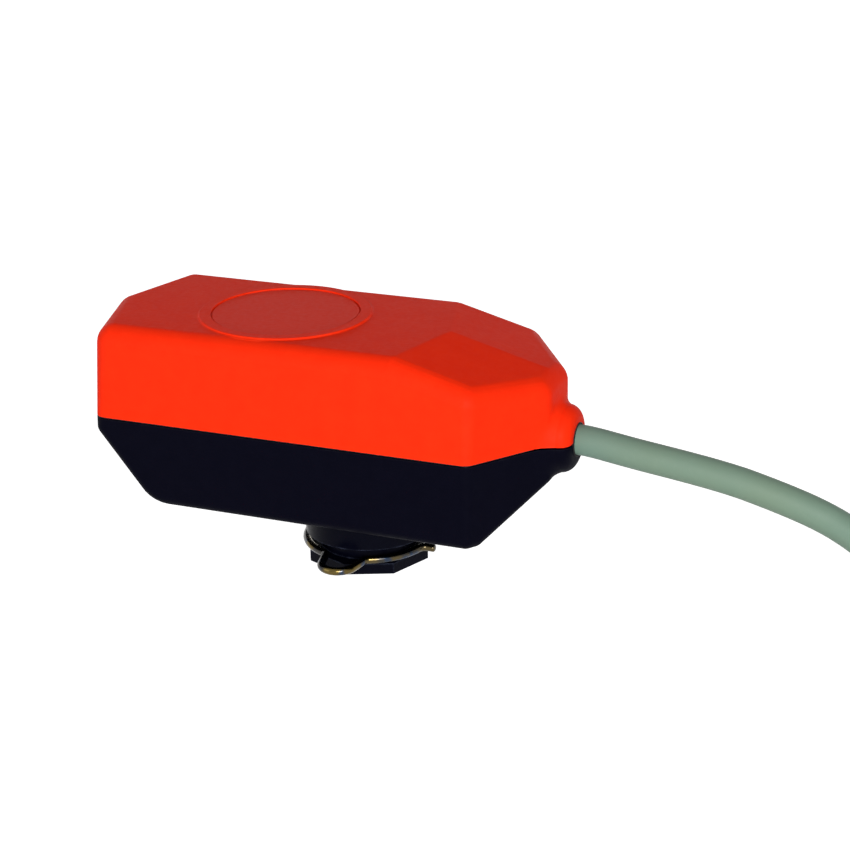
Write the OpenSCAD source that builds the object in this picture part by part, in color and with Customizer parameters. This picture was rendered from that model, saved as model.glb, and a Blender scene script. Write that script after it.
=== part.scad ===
// Clip-on rotary valve actuator: a geared motor in a two-part housing turns a square-drive
// coupling through a quarter turn. Millimetres, +Z up, origin at the foot of the collar on
// the output axis, +X towards the cable.

/* [Housing] */
// Width of the housing at the parting plane
housing_w = 46.5; // [45:0.5:54]
// Output axis to the peak of the tail, where its two cheeks meet
tail_l = 61.4; // [60:0.1:68]
// How far the peak stands out past the corners of the tail
tail_peak = 6.8; // [5:0.2:8]
// Output axis to the shoulders, where the cheeks of the nose begin
shoulder_l = 32.2; // [31:0.1:38]
// Output axis to the flat front of the nose
nose_l = 44.7; // [44:0.1:50]
// Width of the flat front of the nose
nose_w = 12.2; // [10:0.2:14]
// Depth of the base below the parting plane
base_d = 19.25; // [18:0.25:24]
// Height of the cover above the parting plane
cover_h = 20.8; // [19:0.2:26]
// How far each side of the cover leans in towards the top
side_lean = 0.7; // [0.2:0.1:1.5]
// How far the tail of the cover leans in towards the top
tail_lean = 1.1; // [0.4:0.1:2]
// Wall of both shells
wall = 2.2; // [1.8:0.1:2.4]
// Rounding of the cover's upper edges
cover_edge_r = 4.5; // [3:0.25:5]
// Rounding of the base's lower edges
base_edge_r = 2.5; // [1.5:0.25:3.5]
// Rounding of the upright corners at the parting plane
corner_r = 3; // [2:0.25:3.5]
// Rounding of the keel below the tail
keel_r = 8; // [6:0.5:9]

/* [Nose and roof] */
// Output axis to the hip facets, along the side edges of the roof
hip_side_l = 13.6; // [10:0.2:16]
// Output axis to the hip facets, along the ridge
hip_ridge_l = 19.9; // [16:0.2:22]
// Fall of the ridge from the roof to the nose
ridge_fall = 6.6; // [5:0.2:7]
// Output axis to the foot of the rising floor under the nose
rise_l = 33; // [32.4:0.1:35]
// Angle of the rising floor
rise_angle = 44; // [38:1:46]
// Height of the upright band of the base above the slope under the tail
band_h = 3.2; // [2.4:0.2:5]
// How far that slope runs in under the tail
slope_run = 12; // [10:0.2:13]
// Width of the moulded notch in the tail of the cover
notch_w = 5.6; // [3:0.2:6]
// Depth of the notch
notch_d = 1.6; // [0.8:0.1:1.6]

/* [Cable outlet] */
// Axis of the cable below the parting plane
cable_drop = 0.3; // [0:0.1:0.6]
// Radius of the outlet where it leaves the nose
outlet_root_r = 9.4; // [8.6:0.1:10]
// Radius of the outlet before its rounded tip
outlet_tip_r = 7.4; // [7:0.1:8]
// How far the outlet stands out of the nose
outlet_l = 4.1; // [3.5:0.1:5]
// Rounding of the outlet's tip
outlet_edge_r = 3; // [2:0.1:3.2]
// Diameter of the cable
cable_d = 6.6; // [6:0.1:7]
// Clearance round the cable in the outlet
cable_gap = 0.1; // [0.05:0.05:0.2]

/* [Badge] */
// Output axis back to the centre of the badge ring
badge_back = 18.5; // [18:0.1:22]
// Outer radius of the badge ring
badge_r = 19; // [18:0.1:20]
// Width of the ring
badge_rim = 2.6; // [2:0.1:3.2]
// Height of the ring above the roof
badge_h = 0.4; // [0.3:0.1:1.2]
// Depth of the seat below the roof
badge_seat = 0.5; // [0.3:0.1:0.8]
// Gap round the disc
badge_gap = 0.15; // [0.1:0.05:0.3]
// How far the disc lies below the top of the ring
badge_drop = 0.25; // [0.1:0.05:0.4]

/* [Collar] */
// Height of the collar below the base
collar_h = 14.2; // [13:0.2:18]
// Outer radius of the collar
collar_r = 14.1; // [14:0.1:15]
// Radius of the bore that takes the valve neck
neck_r = 9.5; // [9:0.1:9.6]
// Depth of the neck bore
neck_depth = 12; // [10:0.2:12.4]
// Thickness of the eight-sided foot
foot_h = 2.5; // [2:0.1:2.8]
// Radius over the corners of the foot
foot_r = 14.2; // [14:0.1:15]
// Height of the wire groove above the foot
groove_h = 3.6; // [3:0.1:4.4]
// Radius of the floor of the groove
groove_r = 10.8; // [10.6:0.1:10.9]
// Radius of the collar's flange inside the base
flange_r = 17.6; // [17.2:0.1:18]
// Thickness of that flange
flange_t = 1.4; // [1.2:0.1:1.8]

/* [Retaining clip] */
// Diameter of the spring wire
wire_d = 1.8; // [1.6:0.1:2]
// Radius of the wire ring, to the middle of the wire
ring_r = 13.9; // [13.8:0.1:14.2]
// Gap between the wire and the foot
wire_lift = 0.3; // [0.2:0.05:0.5]
// How far the straight back of the wire reaches into the neck bore
wire_bite = 0.7; // [0.4:0.1:1]
// Travel that takes the wire out of the neck's groove
clip_travel = 1.9; // [1.5:0.1:2.1]
// Distance between the two legs of the finger loop
loop_w = 6.9; // [6:0.1:8]
// Output axis to the front of the finger loop
loop_reach = 21.2; // [20:0.1:24]

/* [Gear train] */
// Pressure angle of all the gears
pressure_angle = 25; // [25:1:27]
// Module of the output pair
output_module = 0.8; // [0.75:0.05:0.8]
// Teeth of the output gear
output_teeth = 40; // [36:2:40]
// Module of the second pair
second_module = 0.6; // [0.55:0.05:0.6]
// Teeth of the second gear
second_teeth = 36; // [30:2:36]
// Module of the first pair
first_module = 0.5; // [0.45:0.05:0.5]
// Teeth of the first gear
first_teeth = 48; // [42:2:48]
// Teeth of every pinion
pinion_teeth = 12; // [12:1:13]
// Play between meshing teeth, along the pitch circle
backlash = 0.14; // [0.1:0.02:0.2]
// Thickness of the output gear
output_face = 4; // [3:0.25:4.5]
// Thickness of the second gear
second_face = 2.8; // [2:0.1:3]
// Thickness of the first gear
first_face = 2.2; // [1.8:0.1:2.4]
// Free height between one gear and the next
layer_gap = 0.6; // [0.4:0.1:0.8]
// Radius of the fixed gear pins
pin_r = 1; // [0.8:0.1:1.2]
// Running clearance of gears and shafts
run_gap = 0.05; // [0.03:0.01:0.08]

/* [Output coupling] */
// Size of the square socket, across flats
square_af = 9.1; // [8:0.1:9.2]
// Depth of the square socket
square_depth = 9; // [7:0.5:10]
// Radius of the pilot bore above the square
pilot_r = 2.5; // [2:0.1:3]
// Depth of the pilot bore
pilot_depth = 5; // [3:0.5:5.5]
// Radius of the journal that runs in the collar
journal_r = 8.2; // [7.8:0.1:8.3]
// Radius of the upper journal in the gear plate
top_journal_r = 3; // [2.5:0.1:3.2]
// Angle of the stroke, in degrees
stroke = 90; // [60:5:95]

/* [Gear plate and motor] */
// Thickness of the gear plate
plate_t = 1.5; // [1.2:0.1:2]
// Room between the motor and the outside of the housing's sides
motor_side = 8.5; // [8.4:0.1:10]
// Height of the motor
motor_h = 13; // [10:0.5:13.5]
// Radius of the motor shaft
shaft_r = 1; // [0.8:0.1:1.1]

/* [Board and terminals] */
// Thickness of the circuit board
board_t = 1.6; // [1:0.2:2]
// Length of the circuit board
board_l = 35; // [33:0.5:36]
// Width of the circuit board
board_w = 28; // [26:0.5:30]
// Height of the pillars under the board
pillar_h = 4.6; // [4:0.2:5]
// Length of the relay
relay_l = 15; // [13:0.5:15.5]
// Width of the relay
relay_w = 10; // [8:0.5:10.5]
// Height of the relay
relay_h = 7.5; // [6:0.5:9]
// Radius of the capacitor
capacitor_r = 3; // [2.5:0.1:3.2]
// Height of the capacitor
capacitor_h = 8.5; // [7:0.5:9]
// Length of the resistors
resistor_l = 6; // [5:0.5:7]
// Length of the terminal block
terminal_l = 8; // [7:0.5:9]
// Height of the terminal block
terminal_h = 8; // [6:0.5:8.5]

/* [Fasteners] */
// Radius of the housing screws
screw_r = 1.45; // [1.2:0.05:1.6]
// Radius of their heads
screw_head_r = 2.7; // [2.4:0.1:2.8]
// Radius of the bosses round them
screw_boss_r = 3.9; // [3.7:0.1:4]
// Radius of the small screws
small_screw_r = 0.8; // [0.7:0.1:1]
// Radius of the small screws' heads
small_head_r = 1.5; // [1.3:0.1:1.6]
// Thickness of those heads
small_head_h = 1; // [0.8:0.1:1]
// Depth of the hexagon in the housing screws
hex_depth = 1.5; // [1:0.1:1.6]
// Gap between the shells that the seal fills
seal_t = 0.4; // [0.3:0.05:0.6]

/* [Hidden] */
$fn = 48;
skin = 0.01;        // height of the thin discs that a hull is stretched over
far = 200;          // reach of cutting blocks, past everything

// Levels
seam_z = collar_h + base_d;
roof_z = seam_z + cover_h;
floor_z = collar_h + wall;
cable_z = seam_z - cable_drop;

// Faces of the housing, each as [unit normal, distance along it]
function face(normal, point) = let(u = normal / norm(normal)) [u, u * point];
function inset(f, t) = [f[0], f[1] - t];
function meet(a, b, c) =
    (a[1] * cross(b[0], c[0]) + b[1] * cross(c[0], a[0]) + c[1] * cross(a[0], b[0]))
    / (a[0] * cross(b[0], c[0]));
function inner(faces, t) = meet(inset(faces[0], t), inset(faces[1], t), inset(faces[2], t));
function level(z) = face([0, 0, 1], [0, 0, z]);
function under(z) = face([0, 0, -1], [0, 0, z]);

half_w = housing_w / 2;
roof = level(roof_z);
keel = under(collar_h);
front = face([1, 0, 0], [nose_l, 0, 0]);
rise = face([sin(rise_angle), 0, -cos(rise_angle)], [rise_l, 0, collar_h]);
band_z = seam_z - band_h;
function side(s, lean) = face([0, s * cover_h, lean], [0, s * half_w, seam_z]);
function cheek(s) = face([half_w - nose_w / 2, s * (nose_l - shoulder_l), 0], [shoulder_l, s * half_w, 0]);
function hip(s) =
    let(along = [hip_ridge_l - hip_side_l, side_lean - half_w, 0],
        down = [nose_l - hip_ridge_l, 0, -ridge_fall],
        n = cross(along, down))
    face([n.x, s * n.y, n.z], [hip_ridge_l, 0, roof_z]);

// The tail ends in two cheeks, and the floor under it slopes up to each of them
tail_angle = atan(tail_peak / half_w);
function tail_face(s, across, up, z) =
    face([-cos(tail_angle) * across, s * sin(tail_angle) * across, up], [-tail_l, 0, z]);
function tail(s, lean) = tail_face(s, cover_h, lean, seam_z);
function slope(s) = tail_face(s, band_z - collar_h, -slope_run, band_z);
function tail_corners(cap, side_leans, tail_leans) = [
    [cap, side(-1, side_leans), tail(-1, tail_leans)],
    [cap, tail(-1, tail_leans), tail(1, tail_leans)],
    [cap, tail(1, tail_leans), side(1, side_leans)]];

// Corners of the plan outline at a level, in order round it
function plan_corners(cap, side_leans, tail_leans) = concat(
    [[cap, cheek(-1), front], [cap, side(-1, side_leans), cheek(-1)]],
    tail_corners(cap, side_leans, tail_leans),
    [[cap, cheek(1), side(1, side_leans)], [cap, front, cheek(1)]]);
function plan_at(t) = [
    for (c = plan_corners(level(seam_z), 0, 0))
        let(p = meet(c[0], inset(c[1], t), inset(c[2], t))) [p.x, p.y]];
function roof_corners() = concat(
    [[roof, hip(1), hip(-1)], [hip(1), hip(-1), front]],
    [for (s = [-1, 1]) each [
        [roof, side(s, side_lean), hip(s)],
        [hip(s), side(s, side_lean), cheek(s)],
        [hip(s), cheek(s), front]]],
    tail_corners(roof, side_lean, tail_lean));
function keel_corners() = concat(
    [for (s = [-1, 1]) each [
        [keel, side(s, 0), cheek(s)],
        [keel, cheek(s), rise],
        [cheek(s), front, rise]]],
    [for (s = [-1, 1]) [slope(s), side(s, 0), tail(s, 0)]],
    [[slope(1), tail(-1, 0), tail(1, 0)]]);
foot_corner = [keel, slope(-1), slope(1)];

// Involute gears
function involute(a) = tan(a) - a * PI / 180;
function half_tooth(r, n, m) =
    let(pitch_r = n * m / 2,
        base_r = pitch_r * cos(pressure_angle),
        a = r > base_r ? acos(base_r / r) : 0)
    90 / n - backlash / 4 / pitch_r * 180 / PI + (involute(pressure_angle) - involute(a)) * 180 / PI;
function gear_outline(n, m) =
    let(pitch_r = n * m / 2,
        root_r = pitch_r - 1.25 * m,
        tip_r = pitch_r + 0.95 * m,
        start_r = max(root_r + 0.15 * m, pitch_r * cos(pressure_angle)),
        radii = [root_r, start_r, (start_r + tip_r) / 2, tip_r])
    [for (i = [0 : n - 1]) each concat(
        [for (r = radii) let(a = i * 360 / n - half_tooth(r, n, m)) r * [cos(a), sin(a)]],
        [for (k = [3 : -1 : 0])
            let(a = i * 360 / n + half_tooth(radii[k], n, m)) radii[k] * [cos(a), sin(a)]])];
function centres(n, m) = (n + pinion_teeth) * m / 2;
function tip(n, m) = n * m / 2 + 0.95 * m;

// Where the gears stand, each pair from its own centre distance
second_bearing = 195.9;     // direction from the output axis to the second gear
first_bearing = 156.6;      // from the second gear to the first
motor_bearing = 24.3;       // from the first gear to the motor shaft
second_at = centres(output_teeth, output_module) * [cos(second_bearing), sin(second_bearing)];
first_at = second_at + centres(second_teeth, second_module) * [cos(first_bearing), sin(first_bearing)];
shaft_at = first_at + centres(first_teeth, first_module) * [cos(motor_bearing), sin(motor_bearing)];

// Levels of the gear train, from the floor up
flange_z = floor_z + flange_t;
output_z = flange_z + layer_gap;
second_z = output_z + output_face + layer_gap;
first_z = second_z + second_face + layer_gap;
plate_z = first_z + first_face + 2 * layer_gap;
plate_top = plate_z + plate_t;
boss_gap = 0.3;             // between a gear's hub and the boss or plate next to it
lip_gap = 0.25;             // between the base's locating lip and the cover's wall
lip_t = 1;
lip_h = 1.4;                // how far the lip stands into the cover
lip_root = 3;               // how far it runs down inside the base's wall
pin_boss_r = pin_r + 1.2;

// Output coupling
socket_z = neck_depth + 0.2;
socket_top = socket_z + square_depth;
pilot_top = socket_top + pilot_depth;
hub_r = pilot_r + 2;
hub_top = max(pilot_top + 0.8, output_z + output_face);
hex_r = journal_r - 0.6;
circlip_t = 0.8;
top_end = plate_top + circlip_t + 1;
seal_w = 1.2;
stop_r = 14.2;              // radius of the stop lug and tabs from the output axis
stop_w = 2.4;
stop_half = 6;              // half angle that the lug covers
stop_tab_t = 1.2;
stop_from = -45;            // direction of the lug at rest

// Gear plate, motor and board
post_r = 2.3;
post_grip = 3.5;            // how far the small screws reach into the posts
post_y = half_w - wall - lip_gap - lip_t - post_r - 0.4;
post_at = [
    for (x = [12.5, -29.5]) for (s = [1, -1]) [x, s * post_y]];
motor_r = half_w - motor_side;
plate_half = 12.5;
plate_end = 18;
motor_at = [-26, 0];
ear_r = 2.4;
ear_out = 1;                // how far the ears' screws stand off the motor
plate_from = motor_at.x - motor_r - ear_out - ear_r - 0.6;
board_from = -8.5;
pillar_r = 2;
relay_x = board_from + pillar_r;
pillar_at = [[-5, 10.5], [-5, -10.5], [15.5, 10.5], [15.5, -10.5]];
board_z = plate_top + pillar_h;
board_top = board_z + board_t;
terminal_x = board_from + board_l - terminal_l;
terminal_w = 18;

// Housing screws
screw_at = [
    for (x = [24, -36.5]) for (s = [-1, 1]) [x, s * (half_w - 6.2)]];
screw_depth = 3;
head_h = 2;                 // thickness of the housing screws' heads
screw_l = seam_z - collar_h + 7;

// Cable outlet, clamp and entry
outlet_from = nose_l - 4;
outlet_end = nose_l + outlet_l;
hole_r = cable_d / 2 + cable_gap;
entry_from = nose_l - 9.5;
clamp_x = nose_l - 6.6;
clamp_w = 3.6;
clamp_half = 8;
clamp_t = 2.2;
clamp_screw_y = cable_d / 2 + 2.2;
core_r = 1.1;

// Free cable, in millimetres: out of the outlet, down to the ground and along it to the coil
cable_points = [
    [48.8, 0, 33.15], [50.4, 0, 33.1], [52.4, 0, 32.9], [54.6, 0, 32.6], [58.5, 0, 32], [63, 0, 31.35],
    [68, 0, 30.7], [73.5, 0, 29.95], [79, 0, 29.1], [84, 0, 28.15], [89, 0, 26.9], [94, 0, 25.5],
    [99, 0, 23.9], [104, -0.2, 21.95], [109.4, -1.2, 19.45], [114.5, -2.7, 16.4], [119.5, -4.7, 12.8],
    [124.5, -7.1, 9.1], [130, -9.8, 6.1], [136, -12.9, 4.35], [142, -15.6, 3.95], [148, -17.8, 3.9]
];
tie_t = 0.6;
tie_w = 4;
coil_r = 33;                // radius of the turns, which lie on each other
coil_at = [160, coil_r - 19.7];
coil_turns = 4;
coil_h = coil_turns * cable_d;
coil_bottom = tie_t;
end_gap = [132, 222];       // sector of the top turn where the free end lies, in degrees
tie_bearings = [60, 330];

// A sphere whose facets reach its full radius along X, Y and Z
module ball(r, fn) {
    sphere(r = r / cos(180 / fn), $fn = fn);
}

// The housing's outer form and its cavity share these two hulls
module cover_form(t, edge, corner, from_z, fn) {
    hull() {
        for (c = roof_corners())
            translate(inner(c, t + edge)) ball(edge, fn);
        for (c = plan_corners(level(from_z), side_lean, tail_lean)) {
            p = meet(c[0], inset(c[1], t + corner), inset(c[2], t + corner));
            translate(p) cylinder(r = corner, h = skin, $fn = fn);
        }
    }
}

module base_form(t, edge, corner, keel_edge, to_z, fn) {
    intersection() {
        base_hull(t, edge, corner, keel_edge, to_z, fn);
        below(to_z);
    }
}

module base_hull(t, edge, corner, keel_edge, to_z, fn) {
    hull() {
        for (c = keel_corners())
            translate(inner(c, t + edge)) ball(edge, fn);
        translate(inner(foot_corner, t + keel_edge)) ball(keel_edge, fn * 3 / 4);
        for (s = [-1, 1]) {
            p = meet(inset(keel, t + keel_edge), inset(slope(s), t + keel_edge), inset(side(s, 0), t + edge));
            translate(p) rotate([90, 0, 0]) rotate_extrude($fn = fn)
                translate([keel_edge - edge, 0]) circle(r = edge, $fn = fn / 2);
        }
        for (c = plan_corners(level(to_z), 0, 0)) {
            p = meet(c[0], inset(c[1], t + corner), inset(c[2], t + corner));
            translate(p - [0, 0, skin]) cylinder(r = corner, h = skin, $fn = fn);
        }
    }
}

module outlet_form() {
    translate([0, 0, cable_z]) rotate([0, 90, 0]) rotate_extrude($fn = 96)
        polygon(concat(
            [[0, outlet_from], [outlet_root_r, outlet_from], [outlet_root_r, outlet_from + 0.8]],
            [for (a = [90 : -10 : 0])
                [outlet_tip_r - outlet_edge_r + outlet_edge_r * sin(a),
                 outlet_end - outlet_edge_r + outlet_edge_r * cos(a)]],
            [[0, outlet_end]]));
}

module above(z) {
    translate([-far, -far, z]) cube([2 * far, 2 * far, far]);
}

module below(z) {
    translate([-far, -far, z - far]) cube([2 * far, 2 * far, far]);
}

module cable_bore(r) {
    translate([entry_from - 1, 0, cable_z]) rotate([0, 90, 0])
        cylinder(r = r, h = outlet_end - entry_from + 2);
}

module cover() {
    lower = seam_z + seal_t / 2;
    color("orangered") difference() {
        union() {
            difference() {
                union() {
                    cover_form(0, cover_edge_r, corner_r, lower, 32);
                    intersection() {
                        outlet_form();
                        above(lower);
                    }
                }
                cover_form(wall, cover_edge_r - wall, 0.5, lower - skin, 16);
            }
            intersection() {
                cover_form(wall / 2, cover_edge_r - wall / 2, corner_r - wall / 2, lower, 16);
                union() {
                    for (p = screw_at)
                        translate([p.x, p.y, lower]) cylinder(r = screw_boss_r, h = cover_h);
                    translate([-tail_l, -notch_w, lower]) cube([wall + 2 * notch_d, 2 * notch_w, cover_h]);
                }
            }
            translate([-badge_back, 0, roof_z - wall / 2]) rotate_extrude($fn = 128)
                badge_rim_profile();
        }
        translate([-badge_back, 0, roof_z - badge_seat])
            cylinder(r = badge_r - badge_rim, h = far, $fn = 128);
        translate([notch_d - tail_l - notch_w / 2, 0, seam_z]) rotate([0, atan(tail_lean / cover_h), 0])
            translate([0, 0, -2]) cylinder(r = notch_w / 2, h = far);
        for (p = screw_at)
            translate([p.x, p.y, lower - 1]) cylinder(r = screw_r, h = screw_l + collar_h + screw_depth - lower + 1.5);
        cable_bore(hole_r);
    }
}

module badge_rim_profile() {
    rim_in = badge_r - badge_rim;
    top = wall / 2 + badge_h;
    bead = badge_h / 2;
    polygon(concat(
        [[rim_in - 1, 0], [rim_in - 1, wall / 2]],
        [for (a = [180 : -15 : 90]) [rim_in + bead + bead * cos(a), top - bead + bead * sin(a)]],
        [for (a = [90 : -15 : 0]) [badge_r - bead + bead * cos(a), top - bead + bead * sin(a)]],
        [[badge_r, 0]]));
}

module badge_disc() {
    color("firebrick") translate([-badge_back, 0, roof_z - badge_seat]) rotate_extrude($fn = 128) {
        disc_r = badge_r - badge_rim - badge_gap;
        disc_h = badge_seat + badge_h - badge_drop;
        polygon([[0, 0], [disc_r, 0], [disc_r, disc_h - 0.2], [disc_r - 0.2, disc_h], [0, disc_h]]);
    }
}

module base() {
    upper = seam_z - seal_t / 2;
    color("#1b1c22") difference() {
        union() {
            difference() {
                union() {
                    base_form(0, base_edge_r, corner_r, keel_r, upper, 32);
                    intersection() {
                        outlet_form();
                        below(upper);
                    }
                }
                base_form(wall, 0.6, 0.5, keel_r - wall, upper + skin, 16);
            }
            difference() {
                union() {
                    translate([0, 0, upper - lip_root]) linear_extrude(lip_root + seal_t + lip_h) polygon(plan_at(wall + lip_gap));
                    translate([0, 0, upper - lip_root]) linear_extrude(lip_root) polygon(plan_at(wall - 0.3));
                }
                translate([0, 0, upper - lip_root - 1]) linear_extrude(far) polygon(plan_at(wall + lip_gap + lip_t));
                translate([nose_l - 8, -nose_w, upper]) cube([far, 2 * nose_w, far]);
                for (p = screw_at)
                    translate([p.x, p.y, upper]) cylinder(r = screw_boss_r + lip_gap, h = far);
                translate([-tail_l, -notch_w - lip_gap, upper])
                    cube([wall + 2 * notch_d + lip_gap, 2 * (notch_w + lip_gap), far]);
            }
            intersection() {
                base_form(wall / 2, 1, 1, keel_r - wall / 2, upper, 16);
                union() {
                    for (p = screw_at)
                        translate([p.x, p.y, collar_h]) cylinder(r = screw_boss_r, h = base_d);
                    for (p = post_at)
                        translate([p.x, p.y, collar_h]) cylinder(r = post_r, h = plate_z - collar_h);
                    pin_boss(second_at, output_z);
                    pin_boss(first_at, second_z - boss_gap);
                    translate([clamp_x - clamp_w / 2, -clamp_half, collar_h])
                        cube([clamp_w, 2 * clamp_half, cable_z - collar_h]);
                }
            }
        }
        translate([0, 0, collar_h - 1]) cylinder(r = collar_r + run_gap, h = wall + 2, $fn = 96);
        for (p = screw_at) {
            translate([p.x, p.y, 0]) cylinder(r = screw_r + 0.2, h = far);
            translate([p.x, p.y, 0]) cylinder(r = screw_head_r + 0.2, h = collar_h + screw_depth);
        }
        for (p = post_at)
            translate([p.x, p.y, plate_z - post_grip - 1]) cylinder(r = small_screw_r, h = post_grip + 2, $fn = 24);
        for (p = [second_at, first_at])
            translate([p.x, p.y, floor_z - 0.6]) cylinder(r = pin_r, h = base_d);
        for (a = collar_screw_bearings)
            rotate(a) translate([collar_screw_r, 0, floor_z - 1.2]) cylinder(r = small_screw_r, h = 3, $fn = 24);
        for (s = [-1, 1])
            translate([clamp_x, s * clamp_screw_y, cable_z - post_grip - 1])
                cylinder(r = small_screw_r, h = post_grip + 2, $fn = 24);
        cable_bore(hole_r);
    }
}

// Carries the foot of a gear pin, up to just below the gear
module pin_boss(at, gear_z) {
    translate([at.x, at.y, collar_h]) cylinder(r = pin_boss_r, h = gear_z - boss_gap - collar_h);
}

module parting_seal() {
    color("#0c0c0e") translate([0, 0, seam_z - seal_t / 2]) difference() {
        linear_extrude(seal_t) polygon(plan_at(0.5));
        translate([0, 0, -1]) linear_extrude(seal_t + 2) polygon(plan_at(wall + 0.1));
        translate([nose_l - 8, -outlet_root_r, -1]) cube([far, 2 * outlet_root_r, seal_t + 2]);
    }
}

collar_screw_bearings = [20, 110, 200, 290];
collar_screw_r = (collar_r + flange_r) / 2;

module collar() {
    window_half = sqrt(pow(groove_r, 2) - pow(neck_r - wire_bite, 2)) + 1;
    color("#16161a") difference() {
        union() {
            cylinder(r = foot_r, h = foot_h, $fn = 8);
            cylinder(r = groove_r, h = collar_h);
            translate([0, 0, foot_h + groove_h]) cylinder(r = collar_r, h = flange_z - foot_h - groove_h, $fn = 96);
            translate([0, 0, floor_z]) cylinder(r = flange_r, h = flange_t, $fn = 96);
        }
        translate([0, 0, -1]) cylinder(r = neck_r, h = neck_depth + 1);
        cylinder(r = journal_r + run_gap, h = far);
        translate([0, 0, flange_z - seal_w]) cylinder(r = journal_r + seal_w, h = far);
        translate([-window_half, 0, foot_h]) cube([2 * window_half, collar_r, groove_h]);
        for (a = collar_screw_bearings)
            rotate(a) translate([collar_screw_r, 0, floor_z - 1]) cylinder(r = small_screw_r + 0.1, h = far, $fn = 24);
    }
}

module collar_screws() {
    color("silver") for (a = collar_screw_bearings)
        rotate(a) translate([collar_screw_r, 0, floor_z - 1.2]) {
            cylinder(r = small_screw_r, h = flange_t + 1.2, $fn = 24);
            translate([0, 0, flange_t + 1.2]) cylinder(r = 1.4, h = 0.4, $fn = 24);
        }
}

// The wire runs from one free end round the straight back and the finger loop to the other
function arc(at, r, from, to, steps) = [
    for (i = [0 : steps]) let(a = from + (to - from) * i / steps) [at.x + r * cos(a), at.y + r * sin(a), 0]];

module retaining_clip() {
    back_y = neck_r - wire_bite + wire_d / 2;
    bend_r = 2;             // bend where the straight back meets the ring
    bend_y = back_y - bend_r;
    bend_x = sqrt(pow(ring_r - bend_r, 2) - pow(bend_y, 2));
    bend_angle = atan2(bend_y, bend_x);
    loop_r = loop_w / 2;
    pinch_r = 2.2;          // bend where a leg of the loop meets the ring
    pinch_x = loop_r + pinch_r;
    pinch_y = -sqrt(pow(ring_r + pinch_r, 2) - pow(pinch_x, 2));
    pinch_angle = atan2(-pinch_y, pinch_x);
    tip_r = 2.4;            // bend of the two free ends
    tip_angle = 12;
    tip_at = (ring_r + tip_r) * [cos(tip_angle), sin(tip_angle)];
    wire = concat(
        arc(tip_at, tip_r, 262, 180 + tip_angle, 4),
        arc([0, 0], ring_r, tip_angle + 4, bend_angle - 2, 4),
        arc([bend_x, bend_y], bend_r, bend_angle, 90, 4),
        arc([-bend_x, bend_y], bend_r, 90, 180 - bend_angle, 4),
        arc([0, 0], ring_r, 182 - bend_angle, 178 + pinch_angle, 14),
        arc([-pinch_x, pinch_y], pinch_r, pinch_angle, 0, 4),
        arc([0, loop_r - loop_reach], loop_r, 180, 360, 10),
        arc([pinch_x, pinch_y], pinch_r, 180, 180 - pinch_angle, 4),
        arc([0, 0], ring_r, 2 - pinch_angle, -tip_angle - 4, 8),
        arc([tip_at.x, -tip_at.y], tip_r, 180 - tip_angle, 98, 4));
    color("gainsboro") translate([0, 0, foot_h + wire_lift + wire_d / 2])
        tube(wire, wire_d / 2, 12);
}

module housing_screws() {
    color("silver") for (p = screw_at)
        translate([p.x, p.y, collar_h + screw_depth]) difference() {
            union() {
                translate([0, 0, -head_h]) cylinder(r = screw_head_r, h = head_h);
                cylinder(r = screw_r, h = screw_l);
            }
            translate([0, 0, -head_h - 1]) cylinder(r = screw_head_r * 0.45, h = hex_depth + 1, $fn = 6);
        }
}

module output_coupling() {
    color("burlywood") difference() {
        union() {
            translate([0, 0, socket_z]) cylinder(r = journal_r, h = output_z - socket_z, $fn = 96);
            translate([0, 0, output_z]) cylinder(r = hex_r, h = output_face, $fn = 6);
            translate([0, 0, output_z]) cylinder(r = hub_r, h = hub_top - output_z);
            translate([0, 0, output_z]) cylinder(r = top_journal_r, h = top_end - output_z);
        }
        translate([-square_af / 2, -square_af / 2, socket_z - 1]) cube([square_af, square_af, square_depth + 1]);
        translate([0, 0, socket_z]) cylinder(r = pilot_r, h = pilot_top - socket_z);
        translate([0, 0, plate_top + boss_gap]) difference() {
            cylinder(r = top_journal_r + 1, h = circlip_t);
            translate([0, 0, -1]) cylinder(r = top_journal_r - 0.5, h = circlip_t + 2);
        }
    }
}

module shaft_seal() {
    color("#202020") translate([0, 0, flange_z - seal_w]) difference() {
        cylinder(r = journal_r + seal_w, h = seal_w);
        translate([0, 0, -1]) cylinder(r = journal_r + run_gap, h = seal_w + 2);
    }
}

module gear(n, m, h) {
    linear_extrude(h) polygon(gear_outline(n, m));
}

// Turns a gear so that a tooth points along a bearing, or a gap does
module with_tooth_at(bearing) {
    rotate(bearing) children();
}

module with_gap_at(bearing, n) {
    rotate(bearing + 180 / n) children();
}

module web_pocket(inner_r, outer_r, depth) {
    difference() {
        cylinder(r = outer_r, h = depth);
        translate([0, 0, -1]) cylinder(r = inner_r, h = depth + 2);
    }
}

module output_gear() {
    root_r = output_teeth * output_module / 2 - 1.25 * output_module;
    color("ivory") {
        difference() {
            translate([0, 0, output_z]) with_tooth_at(second_bearing) gear(output_teeth, output_module, output_face);
            translate([0, 0, output_z - 1]) cylinder(r = hex_r, h = output_face + 2, $fn = 6);
            translate([0, 0, output_z - skin]) web_pocket(hex_r + 1.5, root_r - 3.4, 0.8);
            translate([0, 0, output_z + output_face - 0.8]) web_pocket(hex_r + 1.5, root_r - 3.4, 1);
        }
        rotate(stop_from - stop_half) translate([0, 0, output_z + output_face])
            rotate_extrude(angle = 2 * stop_half) translate([stop_r - stop_w, 0]) square([stop_w, 2.2]);
    }
}

module output_circlip() {
    color("silver") translate([0, 0, plate_top + boss_gap]) difference() {
        cylinder(r = top_journal_r + 1.6, h = circlip_t);
        translate([0, 0, -1]) cylinder(r = top_journal_r - 0.5, h = circlip_t + 2);
        translate([0, -1, -1]) cube([far, 2, circlip_t + 2]);
    }
}

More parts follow.
